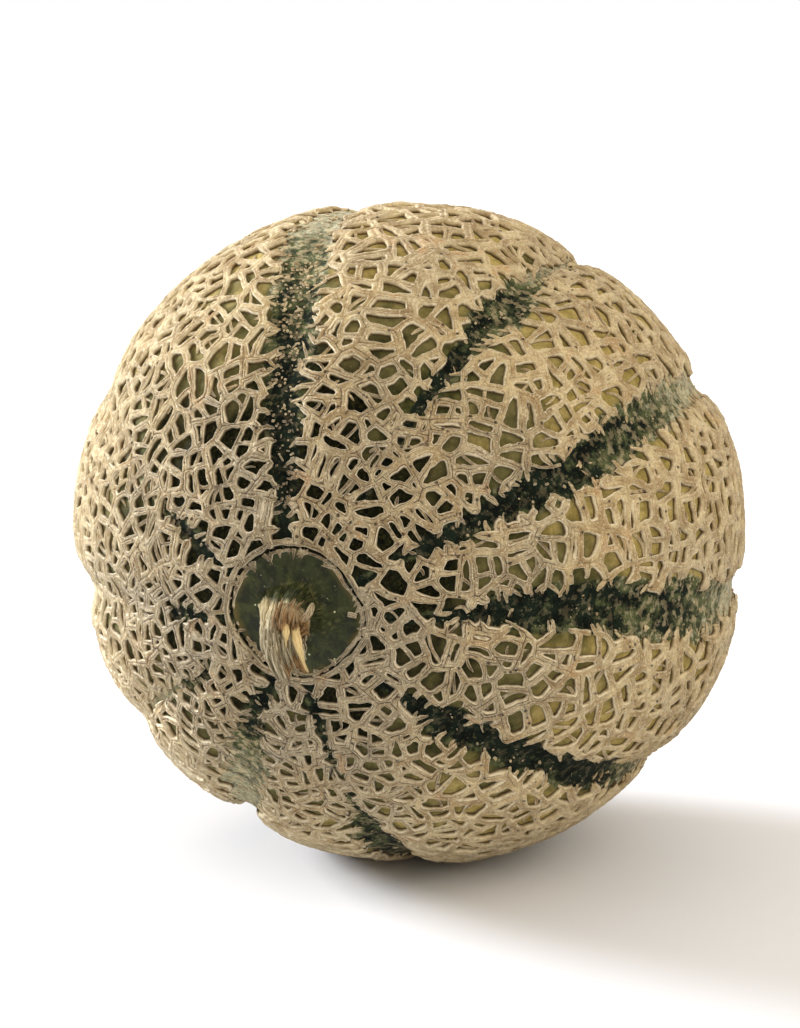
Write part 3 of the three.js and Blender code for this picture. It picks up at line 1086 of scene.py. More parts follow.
def rind_material():
    s = Shade("green_rind")
    th = s.attr("th")
    fd = s.attr("fd")
    fs = s.attr("fs")
    al = s.attr("al")
    band = s.attr("band")
    big = s.noise(60.0, 2.0)
    mid = s.noise(300.0, 3.0, 0.55)
    fine = s.noise(1500.0, 3.0, 0.6)
    speck = s.noise(3600.0, 2.0, 0.5)
    # floor of the meshes: near black green by the stem, grey green, then olive yellow
    deep = s.mix(s.step(mid, 0.38, 0.62), lin(8, 9, 7), lin(20, 23, 15))
    grey = s.mix(s.step(mid, 0.38, 0.62), lin(88, 84, 52), lin(118, 110, 72))
    gold = s.mix(s.step(mid, 0.36, 0.64), lin(150, 132, 76), lin(184, 164, 104))
    wob = s.math("ADD", s.attr("tone"), s.mul(s.math("SUBTRACT", s.noise(95.0, 2.0), 0.5), 50.0))
    col = s.mix(s.step(wob, 25.0, 41.0), deep, grey)
    col = s.mix(s.step(wob, 41.0, 61.0), col, gold)
    # greener again towards a furrow
    side = s.math("ADD", fd, s.mul(s.math("SUBTRACT", s.noise(170.0, 2.0), 0.5), 9.0))
    side = s.mul(s.step(side, 8.5, 3.2, 0.0, 0.8), s.step(th, 24.0, 40.0))
    col = s.mix(side, col, s.mix(s.step(mid, 0.4, 0.6), lin(40, 44, 24), lin(76, 78, 42)))
    col = s.mix(s.step(fine, 0.40, 0.70, 0.0, 0.30), col, lin(78, 74, 38))
    # the furrow's band: near black by the stem, moss and a pale haze further on, cork in streaks across
    strk = s.noise(1.0, 4.0, 0.62, vector=s.vec(s.mul(fs, 0.50), s.mul(al, 0.54), 0.0))
    patch = s.noise(1.0, 3.0, 0.6, vector=s.vec(s.mul(fs, 0.26), s.mul(al, 0.24), 3.7))
    spot = s.noise(1.0, 4.0, 0.7, vector=s.vec(s.mul(fs, 0.75), s.mul(al, 0.75), 8.1))
    haze = s.attr("haze")
    dark = s.mix(s.step(mid, 0.36, 0.62), lin(13, 18, 15), lin(27, 36, 28))
    moss = s.mix(s.step(mid, 0.36, 0.62), lin(50, 57, 38), lin(88, 93, 62))
    pale = s.mix(s.step(spot, 0.38, 0.62), lin(122, 124, 100), lin(190, 184, 156))
    core_ = s.attr("core")
    core_ = s.math("ADD", core_, s.mul(s.math("SUBTRACT", spot, 0.5), 1.5))
    core_ = s.math("ADD", core_, s.mul(s.math("SUBTRACT", strk, 0.5), -0.8))
    inner = s.step(core_, 0.38, 0.60)
    level = s.math("ADD", haze, s.mul(s.math("SUBTRACT", patch, 0.5), 1.5))
    level = s.math("ADD", level, s.mul(s.math("SUBTRACT", spot, 0.5), 0.7))
    level = s.math("ADD", level, s.step(inner, 1.0, 0.0, 0.0, 0.20))
    bandcol = s.mix(s.step(level, 0.14, 0.46), dark, moss)
    bandcol = s.mix(s.step(level, 0.46, 0.96), bandcol, pale)
    # cork that has spread over the green
    more = s.math("ADD", strk, s.mul(haze, 0.075))
    bloom = s.mul(s.step(more, 0.53, 0.585), s.step(haze, 0.0, 0.45, 0.14, 1.0), s.step(inner, 1.0, 0.0, 0.62, 1.0), s.step(th, 16.0, 28.0, 0.15, 1.0))
    bandcol = s.mix(s.mul(bloom, 0.92), bandcol, s.mix(s.step(mid, 0.4, 0.6), lin(150, 136, 106), lin(200, 184, 148)))
    fleck = s.mul(s.step(s.noise(1250.0, 2.0, 0.6), 0.66, 0.73), s.step(s.noise(260.0, 1.0), 0.46, 0.62))
    bandcol = s.mix(s.mul(fleck, 0.85), bandcol, lin(186, 180, 148))
    ragged = s.math("ADD", band, s.mul(s.math("SUBTRACT", strk, 0.5), 0.9))
    mask = s.step(ragged, 0.30, 0.62)
    col = s.mix(mask, col, bandcol)
    col = s.mix(s.step(speck, 0.68, 0.76, 0.0, 0.5), col, lin(188, 182, 130))
    h = s.math("ADD", s.mul(mid, 0.5), s.mul(fine, 0.35))
    h = s.math("ADD", h, s.mul(mask, bloom, 0.8))
    nrm = s.bump(h, 0.6, 0.00045)
    rough = s.step(fine, 0.3, 0.7, 0.66, 0.86)
    return s.done(col, rough, nrm, 0.03, 0.07)


def plate_material():
    s = Shade("green_plate")
    pr = s.attr("pr")
    px = s.attr("px")
    py = s.attr("py")
    mid = s.noise(420.0, 3.0, 0.6)
    fine = s.noise(1900.0, 3.0, 0.6)
    ray = s.noise(3.2, 3.0, 0.6, vector=s.vec(px, py, s.mul(pr, 0.045)))
    ray2 = s.noise(8.5, 2.0, 0.5, vector=s.vec(px, py, s.mul(pr, 0.11)))
    col = s.mix(s.step(mid, 0.35, 0.65), lin(28, 32, 14), lin(48, 54, 25))
    col = s.mix(s.step(ray, 0.50, 0.66, 0.0, 0.45), col, lin(74, 80, 42))
    above = s.step(px, 0.0, 0.85)
    col = s.mix(s.mul(s.step(ray2, 0.54, 0.66), s.step(pr, 12.0, 5.0), 0.36), col, lin(122, 118, 78))
    col = s.mix(s.mul(s.step(pr, 7.4, 4.4), above, s.step(ray, 0.40, 0.62, 0.25, 0.9)), col, lin(160, 152, 88))
    edge = s.mul(s.step(pr, 11.6, 13.4), s.step(s.noise(240.0, 2.0), 0.42, 0.60))
    col = s.mix(s.mul(edge, 0.7), col, lin(104, 90, 46))
    # near-black line in the crack at the plate's edge: painted shade
    col = s.mix(s.step(pr, 13.45, 13.7), col, lin(20, 15, 9))
    dots = s.step(s.voronoi(430.0), 0.115, 0.06)
    dots = s.mul(dots, s.step(s.noise(330.0, 1.0), 0.48, 0.58))
    col = s.mix(dots, col, lin(214, 218, 180))
    col = s.mix(s.step(fine, 0.58, 0.74, 0.0, 0.45), col, lin(96, 104, 62))
    h = s.math("ADD", s.mul(ray, 0.9), s.mul(fine, 0.3))
    h = s.math("ADD", h, s.mul(dots, 0.6))
    nrm = s.bump(h, 0.55, 0.00045)
    return s.done(col, s.step(fine, 0.3, 0.7, 0.42, 0.62), nrm, 0.22)


mat_net = cork_material()
mat_rind = rind_material()
mat_plate = plate_material()


def bake_uv(ob, per_corner):
    """Give the piece its own chart; per_corner is (loops, 2)."""
    lay = ob.data.uv_layers.new(name="OFBake")
    lay.data.foreach_set("uv", np.asarray(per_corner, dtype=np.float32).reshape(-1))


def corner_data(me):
    lv = np.zeros(len(me.loops), dtype=np.int32)
    me.loops.foreach_get("vertex_index", lv)
    start = np.zeros(len(me.polygons), dtype=np.int32)
    me.polygons.foreach_get("loop_start", start)
    cnt = np.zeros(len(me.polygons), dtype=np.int32)
    me.polygons.foreach_get("loop_total", cnt)
    face = np.repeat(np.arange(len(start)), cnt)
    return lv, face, start, cnt


ribs = []
for k, N in enumerate(NETS):
    pos = place(N["V"], N["Z"], 0.02)
    nthv, nazv = polar_az(N["V"])
    ob = add_mesh("net_rib_%02d" % (k + 1), pos, N["F"], {"q": N["Q"], "dmm": N["D"], "th": nthv}, mat_net)
    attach(ob, "root")
    lv, face, start, cnt = corner_data(ob.data)
    f0 = furrow_at(nthv)[:, k]
    f1 = furrow_at(nthv)[:, (k + 1) % NR]
    span = (f1 - f0) % 360.0
    midaz = f0 + span / 2
    x = wrap(nazv - midaz) * DEG * np.sin(nthv * DEG) * R0
    wide = float(span.max()) * DEG * R0 + 9.0
    v_ = 0.5 + x / wide
    fth = np.add.reduceat(nthv[lv], start) / cnt
    second = (fth > 90.0)[face]
    u_ = np.where(second, (nthv[lv] - 88.0) / 94.0, (nthv[lv] + 2.0) / 94.0)
    vv = np.clip(v_[lv], 0.004, 0.996) * 0.492 + np.where(second, 0.504, 0.004)
    bake_uv(ob, np.stack([np.clip(u_, 0.002, 0.998), vv], 1))
    ribs.append(ob)

nth, naz = 160, 320
ths = np.concatenate([[0.02], np.linspace(1.0, 179.0, nth), [179.98]])
azs = np.arange(naz) / naz * 360.0
TH, AZ = np.meshgrid(ths, azs, indexing="ij")
th_f, az_f = TH.reshape(-1), AZ.reshape(-1)
dirs = direction(TH, AZ).reshape(-1, 3)
rdn, rk, rrib = furrows(th_f, az_f)
rhb = band_half(th_f, rk, dirs * R0)
rdn = rdn - table(SHIFT, th_f, rk)
raw = np.where(np.isin(rk, (1, 2, 3, 5)), 0.3, 0.9) * smooth(16, 30, th_f) * (1 - smooth(150, 168, th_f))
rhaze = table(HAZE, th_f, rk)
tint = np.maximum(rhb + 1.1, raw)
rband = np.clip(0.5 + (tint - np.abs(rdn)) / 1.7, 0, 1)
rcore = np.clip(0.5 + (np.maximum(0.78 * rhb, raw) + 0.25 - np.abs(rdn + 0.5 * noise(dirs * R0, 9.0, 63))) / 1.9, 0, 1)
swell = 0.10 * noise(dirs * R0, 3.2, 61) + 0.05 * noise(dirs * R0, 1.6, 62)
swell = swell - 0.75 * (1 - smooth(11.8, 13.2, th_f * DEG * ALONG))
pos = place(dirs, swell, 0.55)
rows = len(ths)
fa = []
for i in range(rows - 1):
    a = i * naz + np.arange(naz)
    b = i * naz + (np.arange(naz) + 1) % naz
    fa.append(np.stack([a, a + naz, b + naz, b], 1))
fa = np.concatenate(fa)
rind = add_mesh("rind", pos, fa, {"th": th_f, "fd": np.abs(rdn), "fs": rdn, "al": th_f * DEG * R0, "band": rband, "core": rcore, "haze": rhaze, "tone": th_f + 5.0 * np.cos((az_f - 205.0) * DEG)}, mat_rind)
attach(rind, "root")
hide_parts("melon_fruit")
lv, face, start, cnt = corner_data(rind.data)
ua = az_f[lv] / 360.0
first_u = ua[start][face]
ua = np.where(ua - first_u < -0.5, ua + 1.0, np.where(ua - first_u > 0.5, ua - 1.0, ua))
bake_uv(rind, np.stack([np.clip(ua, 0.0, 1.0), th_f[lv] / 180.0], 1))

# ------------------------------------------------------------------ smaller cork work
class Cords:
    """Ribbons of cork laid on the skin, gathered into one mesh."""

    LV = np.array([-1.12, -0.97, -0.72, -0.34, 0.0, 0.34, 0.72, 0.97, 1.12])
    PZ = np.array([-0.60, 0.34, 0.90, 1.0, 0.80, 1.0, 0.90, 0.34, -0.60])

    def __init__(self):
        self.v, self.z, self.q, self.d, self.f, self.n = [], [], [], [], [], 0

    def add(self, line, width, high, closed=False):
        """line (n,3) unit directions, width and high (n,) in mm."""
        n = len(line)
        if closed:
            tan = np.roll(line, -1, 0) - np.roll(line, 1, 0)
        else:
            tan = np.gradient(line, axis=0)
        across = unit(np.cross(line, tan))
        m = len(self.LV)
        pts = line[:, None, :] + across[:, None, :] * (self.LV[None, :, None] * width[:, None, None] / R0)
        self.v.append(unit(pts).reshape(-1, 3))
        self.z.append((self.PZ[None, :] * high[:, None]).reshape(-1))
        self.q.append(np.tile(np.abs(self.LV), n))
        self.d.append((np.abs(self.LV)[None, :] * width[:, None]).reshape(-1))
        rows_ = n if closed else n - 1
        i = np.arange(rows_)[:, None]
        j = np.arange(m - 1)[None, :]
        nx = (i + 1) % n
        a_ = i * m + j
        b_ = i * m + j + 1
        c_ = nx * m + j + 1
        d_ = nx * m + j
        self.f.append(np.stack([a_, b_, c_, d_], -1).reshape(-1, 4) + self.n)
        self.n += n * m

    def piece(self, name, lift=0.0):
        V = np.concatenate(self.v)
        Z = np.concatenate(self.z)
        tv, _ = polar_az(V)
        ob = add_mesh(name, place(V, Z + lift, 0.02), np.concatenate(self.f),
                      {"q": np.concatenate(self.q), "dmm": np.concatenate(self.d), "th": tv}, mat_net)
        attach(ob, "root")
        return ob


def on_plate(r, az):
    """Direction at r mm from the plate's middle."""
    return direction(r / ALONG / DEG, az)


# ring of cork round the plate, the torn lip inside its crack, and the teeth on it
ring = Cords()
raz = np.arange(0, 360, 1.5)
rd = on_plate(np.full(len(raz), 14.0), raz) * R0
rlow = 1.15 * noise(rd, 8.5, 70)
rr = 14.85 + rlow + 0.32 * noise(rd, 6.0, 71) + 0.20 * noise(rd, 2.2, 72)
rw = 0.66 + 0.26 * noise(rd, 4.0, 73) + 0.15 * noise(rd, 1.3, 74)
ring.add(on_plate(rr, raz), rw, 0.86 + 0.1 * noise(rd, 2.0, 75), closed=True)
lw = np.clip(0.34 + 0.26 * noise(rd, 5.0, 76) + 0.14 * noise(rd, 1.6, 77), 0.0, 0.62)
lr = 13.32 + rlow + 0.14 * noise(rd, 4.0, 78) + 0.10 * noise(rd, 1.3, 79)
on = lw > 0.17
start_i = int(np.argmin(on)) if not on.all() else 0
order_i = (np.arange(len(raz)) + start_i) % len(raz)
run = []
for i_ in list(order_i) + [order_i[0]]:
    if on[i_] and len(run) < len(raz):
        run.append(i_)
    else:
        if len(run) >= 4:
            idx_ = np.array(run)
            e_ = np.minimum(np.arange(len(idx_)), np.arange(len(idx_))[::-1]) / 2.0
            taper = np.clip(0.25 + e_, 0, 1)
            ring.add(on_plate(lr[idx_], raz[idx_]), lw[idx_] * taper, 0.50 * taper + 0.05)
        run = []
rg = np.random.default_rng(811)
taz = np.concatenate([rg.uniform(0, 360, 34), np.array([318.0, 323.0, 331.0, 126.0, 133.0, 142.0])])
for t_ in taz:
    ln = rg.uniform(0.5, 1.5) if rg.uniform() < 0.8 else rg.uniform(1.5, 2.4)
    w0 = rg.uniform(0.40, 0.72)
    lean = rg.normal(0, 6.0)
    u_t = np.linspace(0, 1, 7)
    r_t = 13.75 + np.interp(t_, raz, rlow) - (ln + 0.3) * u_t
    a_t = t_ + lean * u_t
    ring.add(on_plate(r_t, a_t), w0 * np.clip(1.05 - u_t, 0.06, 1) ** 0.75, 0.62 - 0.34 * u_t)
# a loose square flake on the right of the plate
fl = on_plate(np.array([11.0, 11.9, 12.9]), np.array([272.0, 271.0, 270.0]))
ring.add(fl, np.array([0.55, 0.62, 0.50]), np.array([0.75, 0.85, 0.75]))
ring.piece("net_collar")

# thin strands and spurs inside the larger meshes
spurs = Cords()
rg = np.random.default_rng(515)
for (cd_, cen_, e1_, e2_, ctr_, b_, F_, rib_, area_) in hole_list:
    if area_ < 11.0 or polar_az(cd_[None])[0][0] < 15.0 or rg.uniform() > 0.18 + 0.016 * (area_ - 11.0):
        continue
    th_c, az_c = polar_az(cd_[None])
    dn_c, k_c, _ = furrows(th_c, az_c)
    if abs(float((dn_c - table(SHIFT, th_c, k_c))[0])) < float(band_half(th_c, k_c, cd_[None] * R0)[0]) + 0.6:
        continue
    m_ = len(b_)
    i_ = int(rg.integers(m_))
    p0_ = ctr_ + (b_[i_] - ctr_) * 0.92
    opp = ctr_ - (b_[i_] - ctr_)
    j_ = int(np.argmin(((b_ - opp) ** 2).sum(1)))
    full = rg.uniform() < 0.72
    p1_ = b_[j_] if full else p0_ + (b_[j_] - p0_) * rg.uniform(0.40, 0.72)
    n_ = 6
    u_ = np.linspace(0, 1, n_)
    side_ = np.array([-(p1_ - p0_)[1], (p1_ - p0_)[0]])
    pts_ = p0_ + (p1_ - p0_) * u_[:, None] + side_ * (rg.normal(0, 0.14) * np.sin(math.pi * u_))[:, None]
    w_ = rg.uniform(0.26, 0.54) * (1 - 0.22 * np.sin(math.pi * u_))
    h_ = np.full(n_, rg.uniform(0.50, 0.78))
    if not full:
        w_ = w_ * np.clip(1.12 - u_ ** 4, 0.3, 1)
        h_ = h_ * (1 - 0.55 * u_)
    spurs.add(to3d(pts_, cen_, e1_, e2_), w_, h_)
spurs.piece("net_spurs")

# crumbs and short slivers of cork in the furrows
crumbs = Cords()
rg = np.random.default_rng(929)
made_c = 0
while made_c < 520:
    kk = int(rg.integers(NR))
    t_ = rg.uniform(14.0, 120.0)
    if rg.uniform() < 0.22:
        kk, t_ = 0, rg.uniform(16.0, 62.0)
    if kk in (4, 5, 6, 7, 8) and rg.uniform() < 0.6:
        continue
    mm = math.sin(t_ * DEG) * R0 * DEG
    a0 = furrow_at(np.array([t_]))[0, kk] + float(np.interp(t_, TK, SHIFT[kk])) / mm
    off = rg.normal(0, 2.6)
    c_ = direction(np.array([t_]), np.array([a0 + off / mm]))
    hb_ = float(band_half(np.array([t_]), np.array([kk]), c_ * R0)[0])
    if abs(off) > hb_ + 0.2:
        continue
    ang = rg.normal(0, 0.5) + (math.pi / 2 if rg.uniform() < 0.72 else rg.uniform(0, math.pi))
    ln = rg.uniform(0.3, 0.95) if rg.uniform() < 0.85 else rg.uniform(0.95, 2.0)
    w0 = rg.uniform(0.13, 0.38)
    u_ = np.linspace(-1, 1, 5)
    tt_ = t_ + (u_ * ln * 0.5 * math.cos(ang)) / (R0 * DEG)
    aa_ = a0 + (off + u_ * ln * 0.5 * math.sin(ang)) / mm
    crumbs.add(direction(tt_, aa_), w0 * np.array([0.25, 0.85, 1.0, 0.8, 0.2]) * rg.uniform(0.8, 1.2, 5),
               rg.uniform(0.2, 0.46) * np.array([0.5, 0.95, 1.0, 0.9, 0.4]))
    made_c += 1
crumbs.piece("cork_crumbs")

# fringe of short blunt teeth along both sides of every furrow
fringe = Cords()
rg = np.random.default_rng(1213)
S_STRONG = S[strong]
for kk in range(NR):
    for sgn in (-1.0, 1.0):
        t_ = 14.0
        while t_ < 140.0:
            t_ += rg.uniform(0.8, 2.0) if rg.uniform() < 0.6 else rg.uniform(2.5, 7.0)
            mm = math.sin(t_ * DEG) * R0 * DEG
            a0 = furrow_at(np.array([t_]))[0, kk] + float(np.interp(t_, TK, SHIFT[kk])) / mm
            c_ = direction(np.array([t_]), np.array([a0 + sgn * 1.2 / mm]))
            hb_ = float(band_half(np.array([t_]), np.array([kk]), c_ * R0)[0])
            if hb_ < 0.7:
                continue
            ln = min(rg.uniform(0.3, 1.9), 0.7 * hb_) + 0.9
            w0 = rg.uniform(0.28, 0.66)
            u_ = np.linspace(0, 1, 6)
            off = hb_ + 0.9 - ln * u_
            slant = rg.normal(0, 0.62) * ln
            tt_ = t_ + (slant * u_ + rg.normal(0, 0.10, 6)) / (R0 * DEG)
            aa_ = a0 + sgn * off / mm
            td_ = direction(tt_, aa_)
            gap2 = ((S_STRONG - td_[0]) ** 2).sum(1) * R0 * R0
            gi = int(np.argmin(gap2))
            if gap2[gi] > 2.1 ** 2:
                continue
            td_ = unit(td_ + (S_STRONG[gi] - td_[0])[None] * ((1 - u_) ** 1.3)[:, None])
            fringe.add(td_, w0 * np.clip(1.15 - 0.75 * u_ ** 2, 0.2, 1) * rg.uniform(0.85, 1.15, 6),
                       rg.uniform(0.50, 0.78) * (1 - 0.62 * u_))
fringe.piece("furrow_fringe")

# blossom end: a small round corky scar with rings
scar = Cords()
for rad_, wid_ in ((0.9, 0.75), (2.2, 0.62), (3.6, 0.66)):
    az_ = np.arange(0, 360, 7.5)
    dd_ = direction(np.full(len(az_), 180.0 - rad_ / ALONG / DEG), az_) * R0
    wob_ = 0.22 * noise(dd_, 2.0, 91)
    scar.add(direction(180.0 - (rad_ + wob_) / ALONG / DEG, az_), wid_ + 0.12 * noise(dd_, 1.1, 92), np.full(len(az_), 0.62 - 0.06 * rad_), closed=True)
scar.piece("blossom_scar")

# smooth green plate round the stem, finer than the rind under it
pn, pm = 46, 150
prr = np.linspace(0.15, 14.5, pn)
pa_ = np.arange(pm) / pm * 360.0
PR, PA = np.meshgrid(prr, pa_, indexing="ij")
pd = on_plate(PR.reshape(-1), PA.reshape(-1))
prf, paf = PR.reshape(-1), PA.reshape(-1)
ridge = np.cos(5 * (90.0 - paf) * DEG + 0.6) * np.exp(-((prf - 6.5) / 2.4) ** 2) * 0.32
pz = 0.16 + 0.10 * noise(pd * R0, 2.6, 81) + 0.05 * noise(pd * R0, 0.9, 82) + ridge
plow = np.interp(paf, raz, rlow)
pz = pz - 0.6 * smooth(13.6, 14.2, prf - plow)
pf = []
for i in range(pn - 1):
    a = i * pm + np.arange(pm)
    b = i * pm + (np.arange(pm) + 1) % pm
    pf.append(np.stack([a, a + pm, b + pm, b], 1))
plate = add_mesh("stem_plate", place(pd, pz), np.concatenate(pf),
                 {"pr": prf - plow, "px": np.cos(paf * DEG), "py": np.sin(paf * DEG)}, mat_plate)
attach(plate, "root")

# ------------------------------------------------------------------ stem stub
OUT = np.array([0.0016, -0.9999, -0.0109])
OUT = OUT / np.linalg.norm(OUT)
FOOT_R = float(skin_radius(np.array([0.0]), np.array([0.0]))[0]) + 0.35
FOOT = OUT * FOOT_R
B0 = FOOT + np.array([0.7, 0, -1.8])
B1 = FOOT + OUT * 5.2 + np.array([0.7, 0, -2.2])
B2 = FOOT + OUT * 8.4 + np.array([2.0, 0, -5.6])
B3 = FOOT + OUT * 8.0 + np.array([4.2, 0, -11.0])
RAD = np.array([5.2, 4.85, 4.65, 4.55, 4.5, 4.45, 4.4, 4.3, 4.2, 4.05, 3.9, 3.7, 3.5])


def stem_frame(t):
    """Centre, side, over and tangent of the stub's line; t in 0..1, a little past both ends too."""
    t = np.asarray(t, float)[..., None]
    tc = np.clip(t, 0, 1)
    c = B0 * (1 - tc) ** 3 + B1 * 3 * tc * (1 - tc) ** 2 + B2 * 3 * tc * tc * (1 - tc) + B3 * tc ** 3
    g = (B1 - B0) * 3 * (1 - tc) ** 2 + (B2 - B1) * 6 * tc * (1 - tc) + (B3 - B2) * 3 * tc * tc
    g = unit(g)
    c = c + g * (t - tc) * 16.0
    ref = np.array([1.0, 0, 0])
    side = unit(ref - g * (g @ ref)[..., None])
    over = np.cross(g, side)
    return c, side, over, g


def bell(a, mid_, w):
    return np.exp(-(wrap(a - mid_) / w) ** 2)


def stem_r(t, a):
    """Radius of the stub's body; a in degrees, 0 right, 90 up and outwards, 180 left."""
    r = np.interp(t, np.linspace(0, 1, 13), RAD) * (1 + 0.045 * np.cos(5 * a * DEG + 0.6))
    r = r * (1 - 0.20 * bell(a, 137, 9) - 0.10 * bell(a, 103, 6) - 0.12 * bell(a, 172, 6) - 0.14 * bell(a, 214, 9) - 0.10 * bell(a, 262, 8) - 0.10 * bell(a, 318, 9))
    r = r + (0.16 * np.cos(17 * a * DEG + 1.3 + 2.0 * t) + 0.09 * np.cos(29 * a * DEG + 3 * t)) * smooth(0.10, 0.40, t)
    r = r + 1.7 * bell(a, 170, 36) * (1 - smooth(-0.05, 0.34, t))
    torn = smooth(-48, -22, wrap(a)) * (1 - smooth(92, 108, wrap(a)))
    edge = 0.50 + 0.05 * np.cos(9 * a * DEG) + 0.03 * np.cos(23 * a * DEG + 1)
    r = r * (1 - 0.40 * torn * smooth(edge - 0.01, edge + 0.05, t))
    return r


class Mesher:
    def __init__(self):
        self.v, self.f, self.n = [], [], 0
        self.at = {"brn": [], "yel": [], "grn": [], "ta": [], "tl": []}

    def grid(self, P, closed=True, **at):
        """P (rows, cols, 3) in mm from the fruit's middle."""
        rws, cls = P.shape[:2]
        self.v.append(P.reshape(-1, 3))
        for k_, l_ in self.at.items():
            l_.append(np.broadcast_to(np.asarray(at.get(k_, 0.0), float), (rws, cls)).reshape(-1))
        i = np.arange(rws - 1)[:, None]
        j = np.arange(cls if closed else cls - 1)[None, :]
        nj = (j + 1) % cls
        q_ = np.stack([i * cls + j, i * cls + nj, (i + 1) * cls + nj, (i + 1) * cls + j], -1).reshape(-1, 4)
        self.f.append(q_ + self.n)
        self.n += rws * cls

    def tube(self, pts, rads, sides=7, flat=1.0, **at):
        pts = np.asarray(pts, float)
        rads = np.asarray(rads, float)
        tan = unit(np.gradient(pts, axis=0))
        nrm = np.cross(tan[0], np.array([0.31, 0.2, 0.93]))
        nrm = nrm / np.linalg.norm(nrm)
        rings_ = []
        ang = np.arange(sides) / sides * 2 * math.pi
        for i in range(len(pts)):
            nrm = nrm - tan[i] * (nrm @ tan[i])
            nrm = nrm / np.linalg.norm(nrm)
            bi = np.cross(tan[i], nrm)
            rings_.append(pts[i] + rads[i] * (np.cos(ang)[:, None] * nrm + flat * np.sin(ang)[:, None] * bi))
        P = np.array(rings_)
        first = np.repeat(pts[:1][None], sides, 1) + 0 * P[:1]
        last = np.repeat(pts[-1:][None], sides, 1) + 0 * P[-1:]
        P = np.concatenate([first, P, last])
        u = np.linspace(0, 1, len(P))[:, None]
        at.setdefault("tl", u * 10.0)
        at2 = {k_: (np.interp(u[:, 0], np.linspace(0, 1, len(np.atleast_1d(v_))), np.atleast_1d(v_))[:, None] if np.ndim(v_) == 1 else v_) for k_, v_ in at.items()}
        at2["ta"] = (np.arange(sides) / sides * 6.0)[None, :]
        self.grid(P, True, **at2)


stem = Mesher()
# body: skirt that runs out on the plate, then the ringed stub, then the torn end
ang_n = 180
A_ = np.arange(ang_n) / ang_n * 360.0
rows_p, rows_t = [], []
for depth, rad in ((-2.6, 6.7), (-1.7, 6.1), (-1.05, 5.75), (-0.50, 5.4)):
    rid = (1 + 0.05 * np.cos(5 * A_ * DEG + 0.6)) * rad + 1.7 * bell(A_, 170, 36)
    rid = rid * (1 - (0.20 * bell(A_, 137, 9) + 0.12 * bell(A_, 214, 9)) * (7.4 - rad) / 3.0)
    c_, sd_, ov_, tg_ = stem_frame(np.array([0.0]))
    rows_p.append(c_[0] + tg_[0] * depth + rid[:, None] * (np.cos(A_ * DEG)[:, None] * sd_[0] + np.sin(A_ * DEG)[:, None] * ov_[0]))
    rows_t.append(depth * 0.06)
tt = np.linspace(0.0, 1.0, 54)
for t_ in tt:
    c_, sd_, ov_, tg_ = stem_frame(np.array([t_]))
    r_ = stem_r(np.full(ang_n, t_), A_)
    rows_p.append(c_[0] + r_[:, None] * (np.cos(A_ * DEG)[:, None] * sd_[0] + np.sin(A_ * DEG)[:, None] * ov_[0]))
    rows_t.append(t_)
# ragged rim and hollow end
c_, sd_, ov_, tg_ = stem_frame(np.array([1.0]))
ragged = 0.9 * np.cos(3 * A_ * DEG + 0.4) + 0.55 * np.cos(11 * A_ * DEG) + 0.4 * np.cos(31 * A_ * DEG + 2)
rows_p[-1] = rows_p[-1] + tg_[0] * ragged[:, None]
rows_p[-2] = rows_p[-2] + tg_[0] * ragged[:, None] * 0.5
for share, back in ((0.82, 0.3), (0.55, 1.4), (0.25, 1.9), (0.01, 2.0)):
    rr_ = stem_r(np.full(ang_n, 1.0), A_) * share
    rows_p.append(c_[0] + tg_[0] * (ragged * share - back)[:, None] + rr_[:, None] * (np.cos(A_ * DEG)[:, None] * sd_[0] + np.sin(A_ * DEG)[:, None] * ov_[0]))
    rows_t.append(1.0 + 0.05 * (1 - share))
P_ = np.array(rows_p)
T_ = np.array(rows_t)[:, None]
tornside = (smooth(-48, -22, wrap(A_)) * (1 - smooth(92, 108, wrap(A_))))[None, :]
brn = tornside * smooth(0.24, 0.42, T_) * 0.9 + smooth(1.0, 1.02, T_) * 0.5 + bell(A_, 137, 7)[None, :] * 0.55 * smooth(0.05, 0.2, T_)
stem.grid(P_, True, brn=np.clip(brn, 0, 1), yel=0.35 * (1 - smooth(0.05, 0.4, T_)) + 0 * A_[None, :],
          grn=(1 - smooth(0.16, 0.33, T_ + 0.02 * np.cos(13 * A_ * DEG)[None, :] + 0.22 * bell(A_, 168, 40)[None, :])), ta=(A_ / 360.0 * 30.0)[None, :], tl=T_ * 16.0)


def on_stem(t, a, lift):
    t = np.asarray(t, float)
    a = np.asarray(a, float) * np.ones_like(t)
    c_, sd_, ov_, tg_ = stem_frame(t)
    r_ = np.interp(t, np.linspace(0, 1, 13), RAD) + lift + 1.7 * bell(a, 170, 36) * (1 - smooth(-0.05, 0.34, t))
    return c_ + np.asarray(r_)[..., None] * (np.cos(a * DEG)[..., None] * sd_ + np.sin(a * DEG)[..., None] * ov_)


rg = np.random.default_rng(3307)
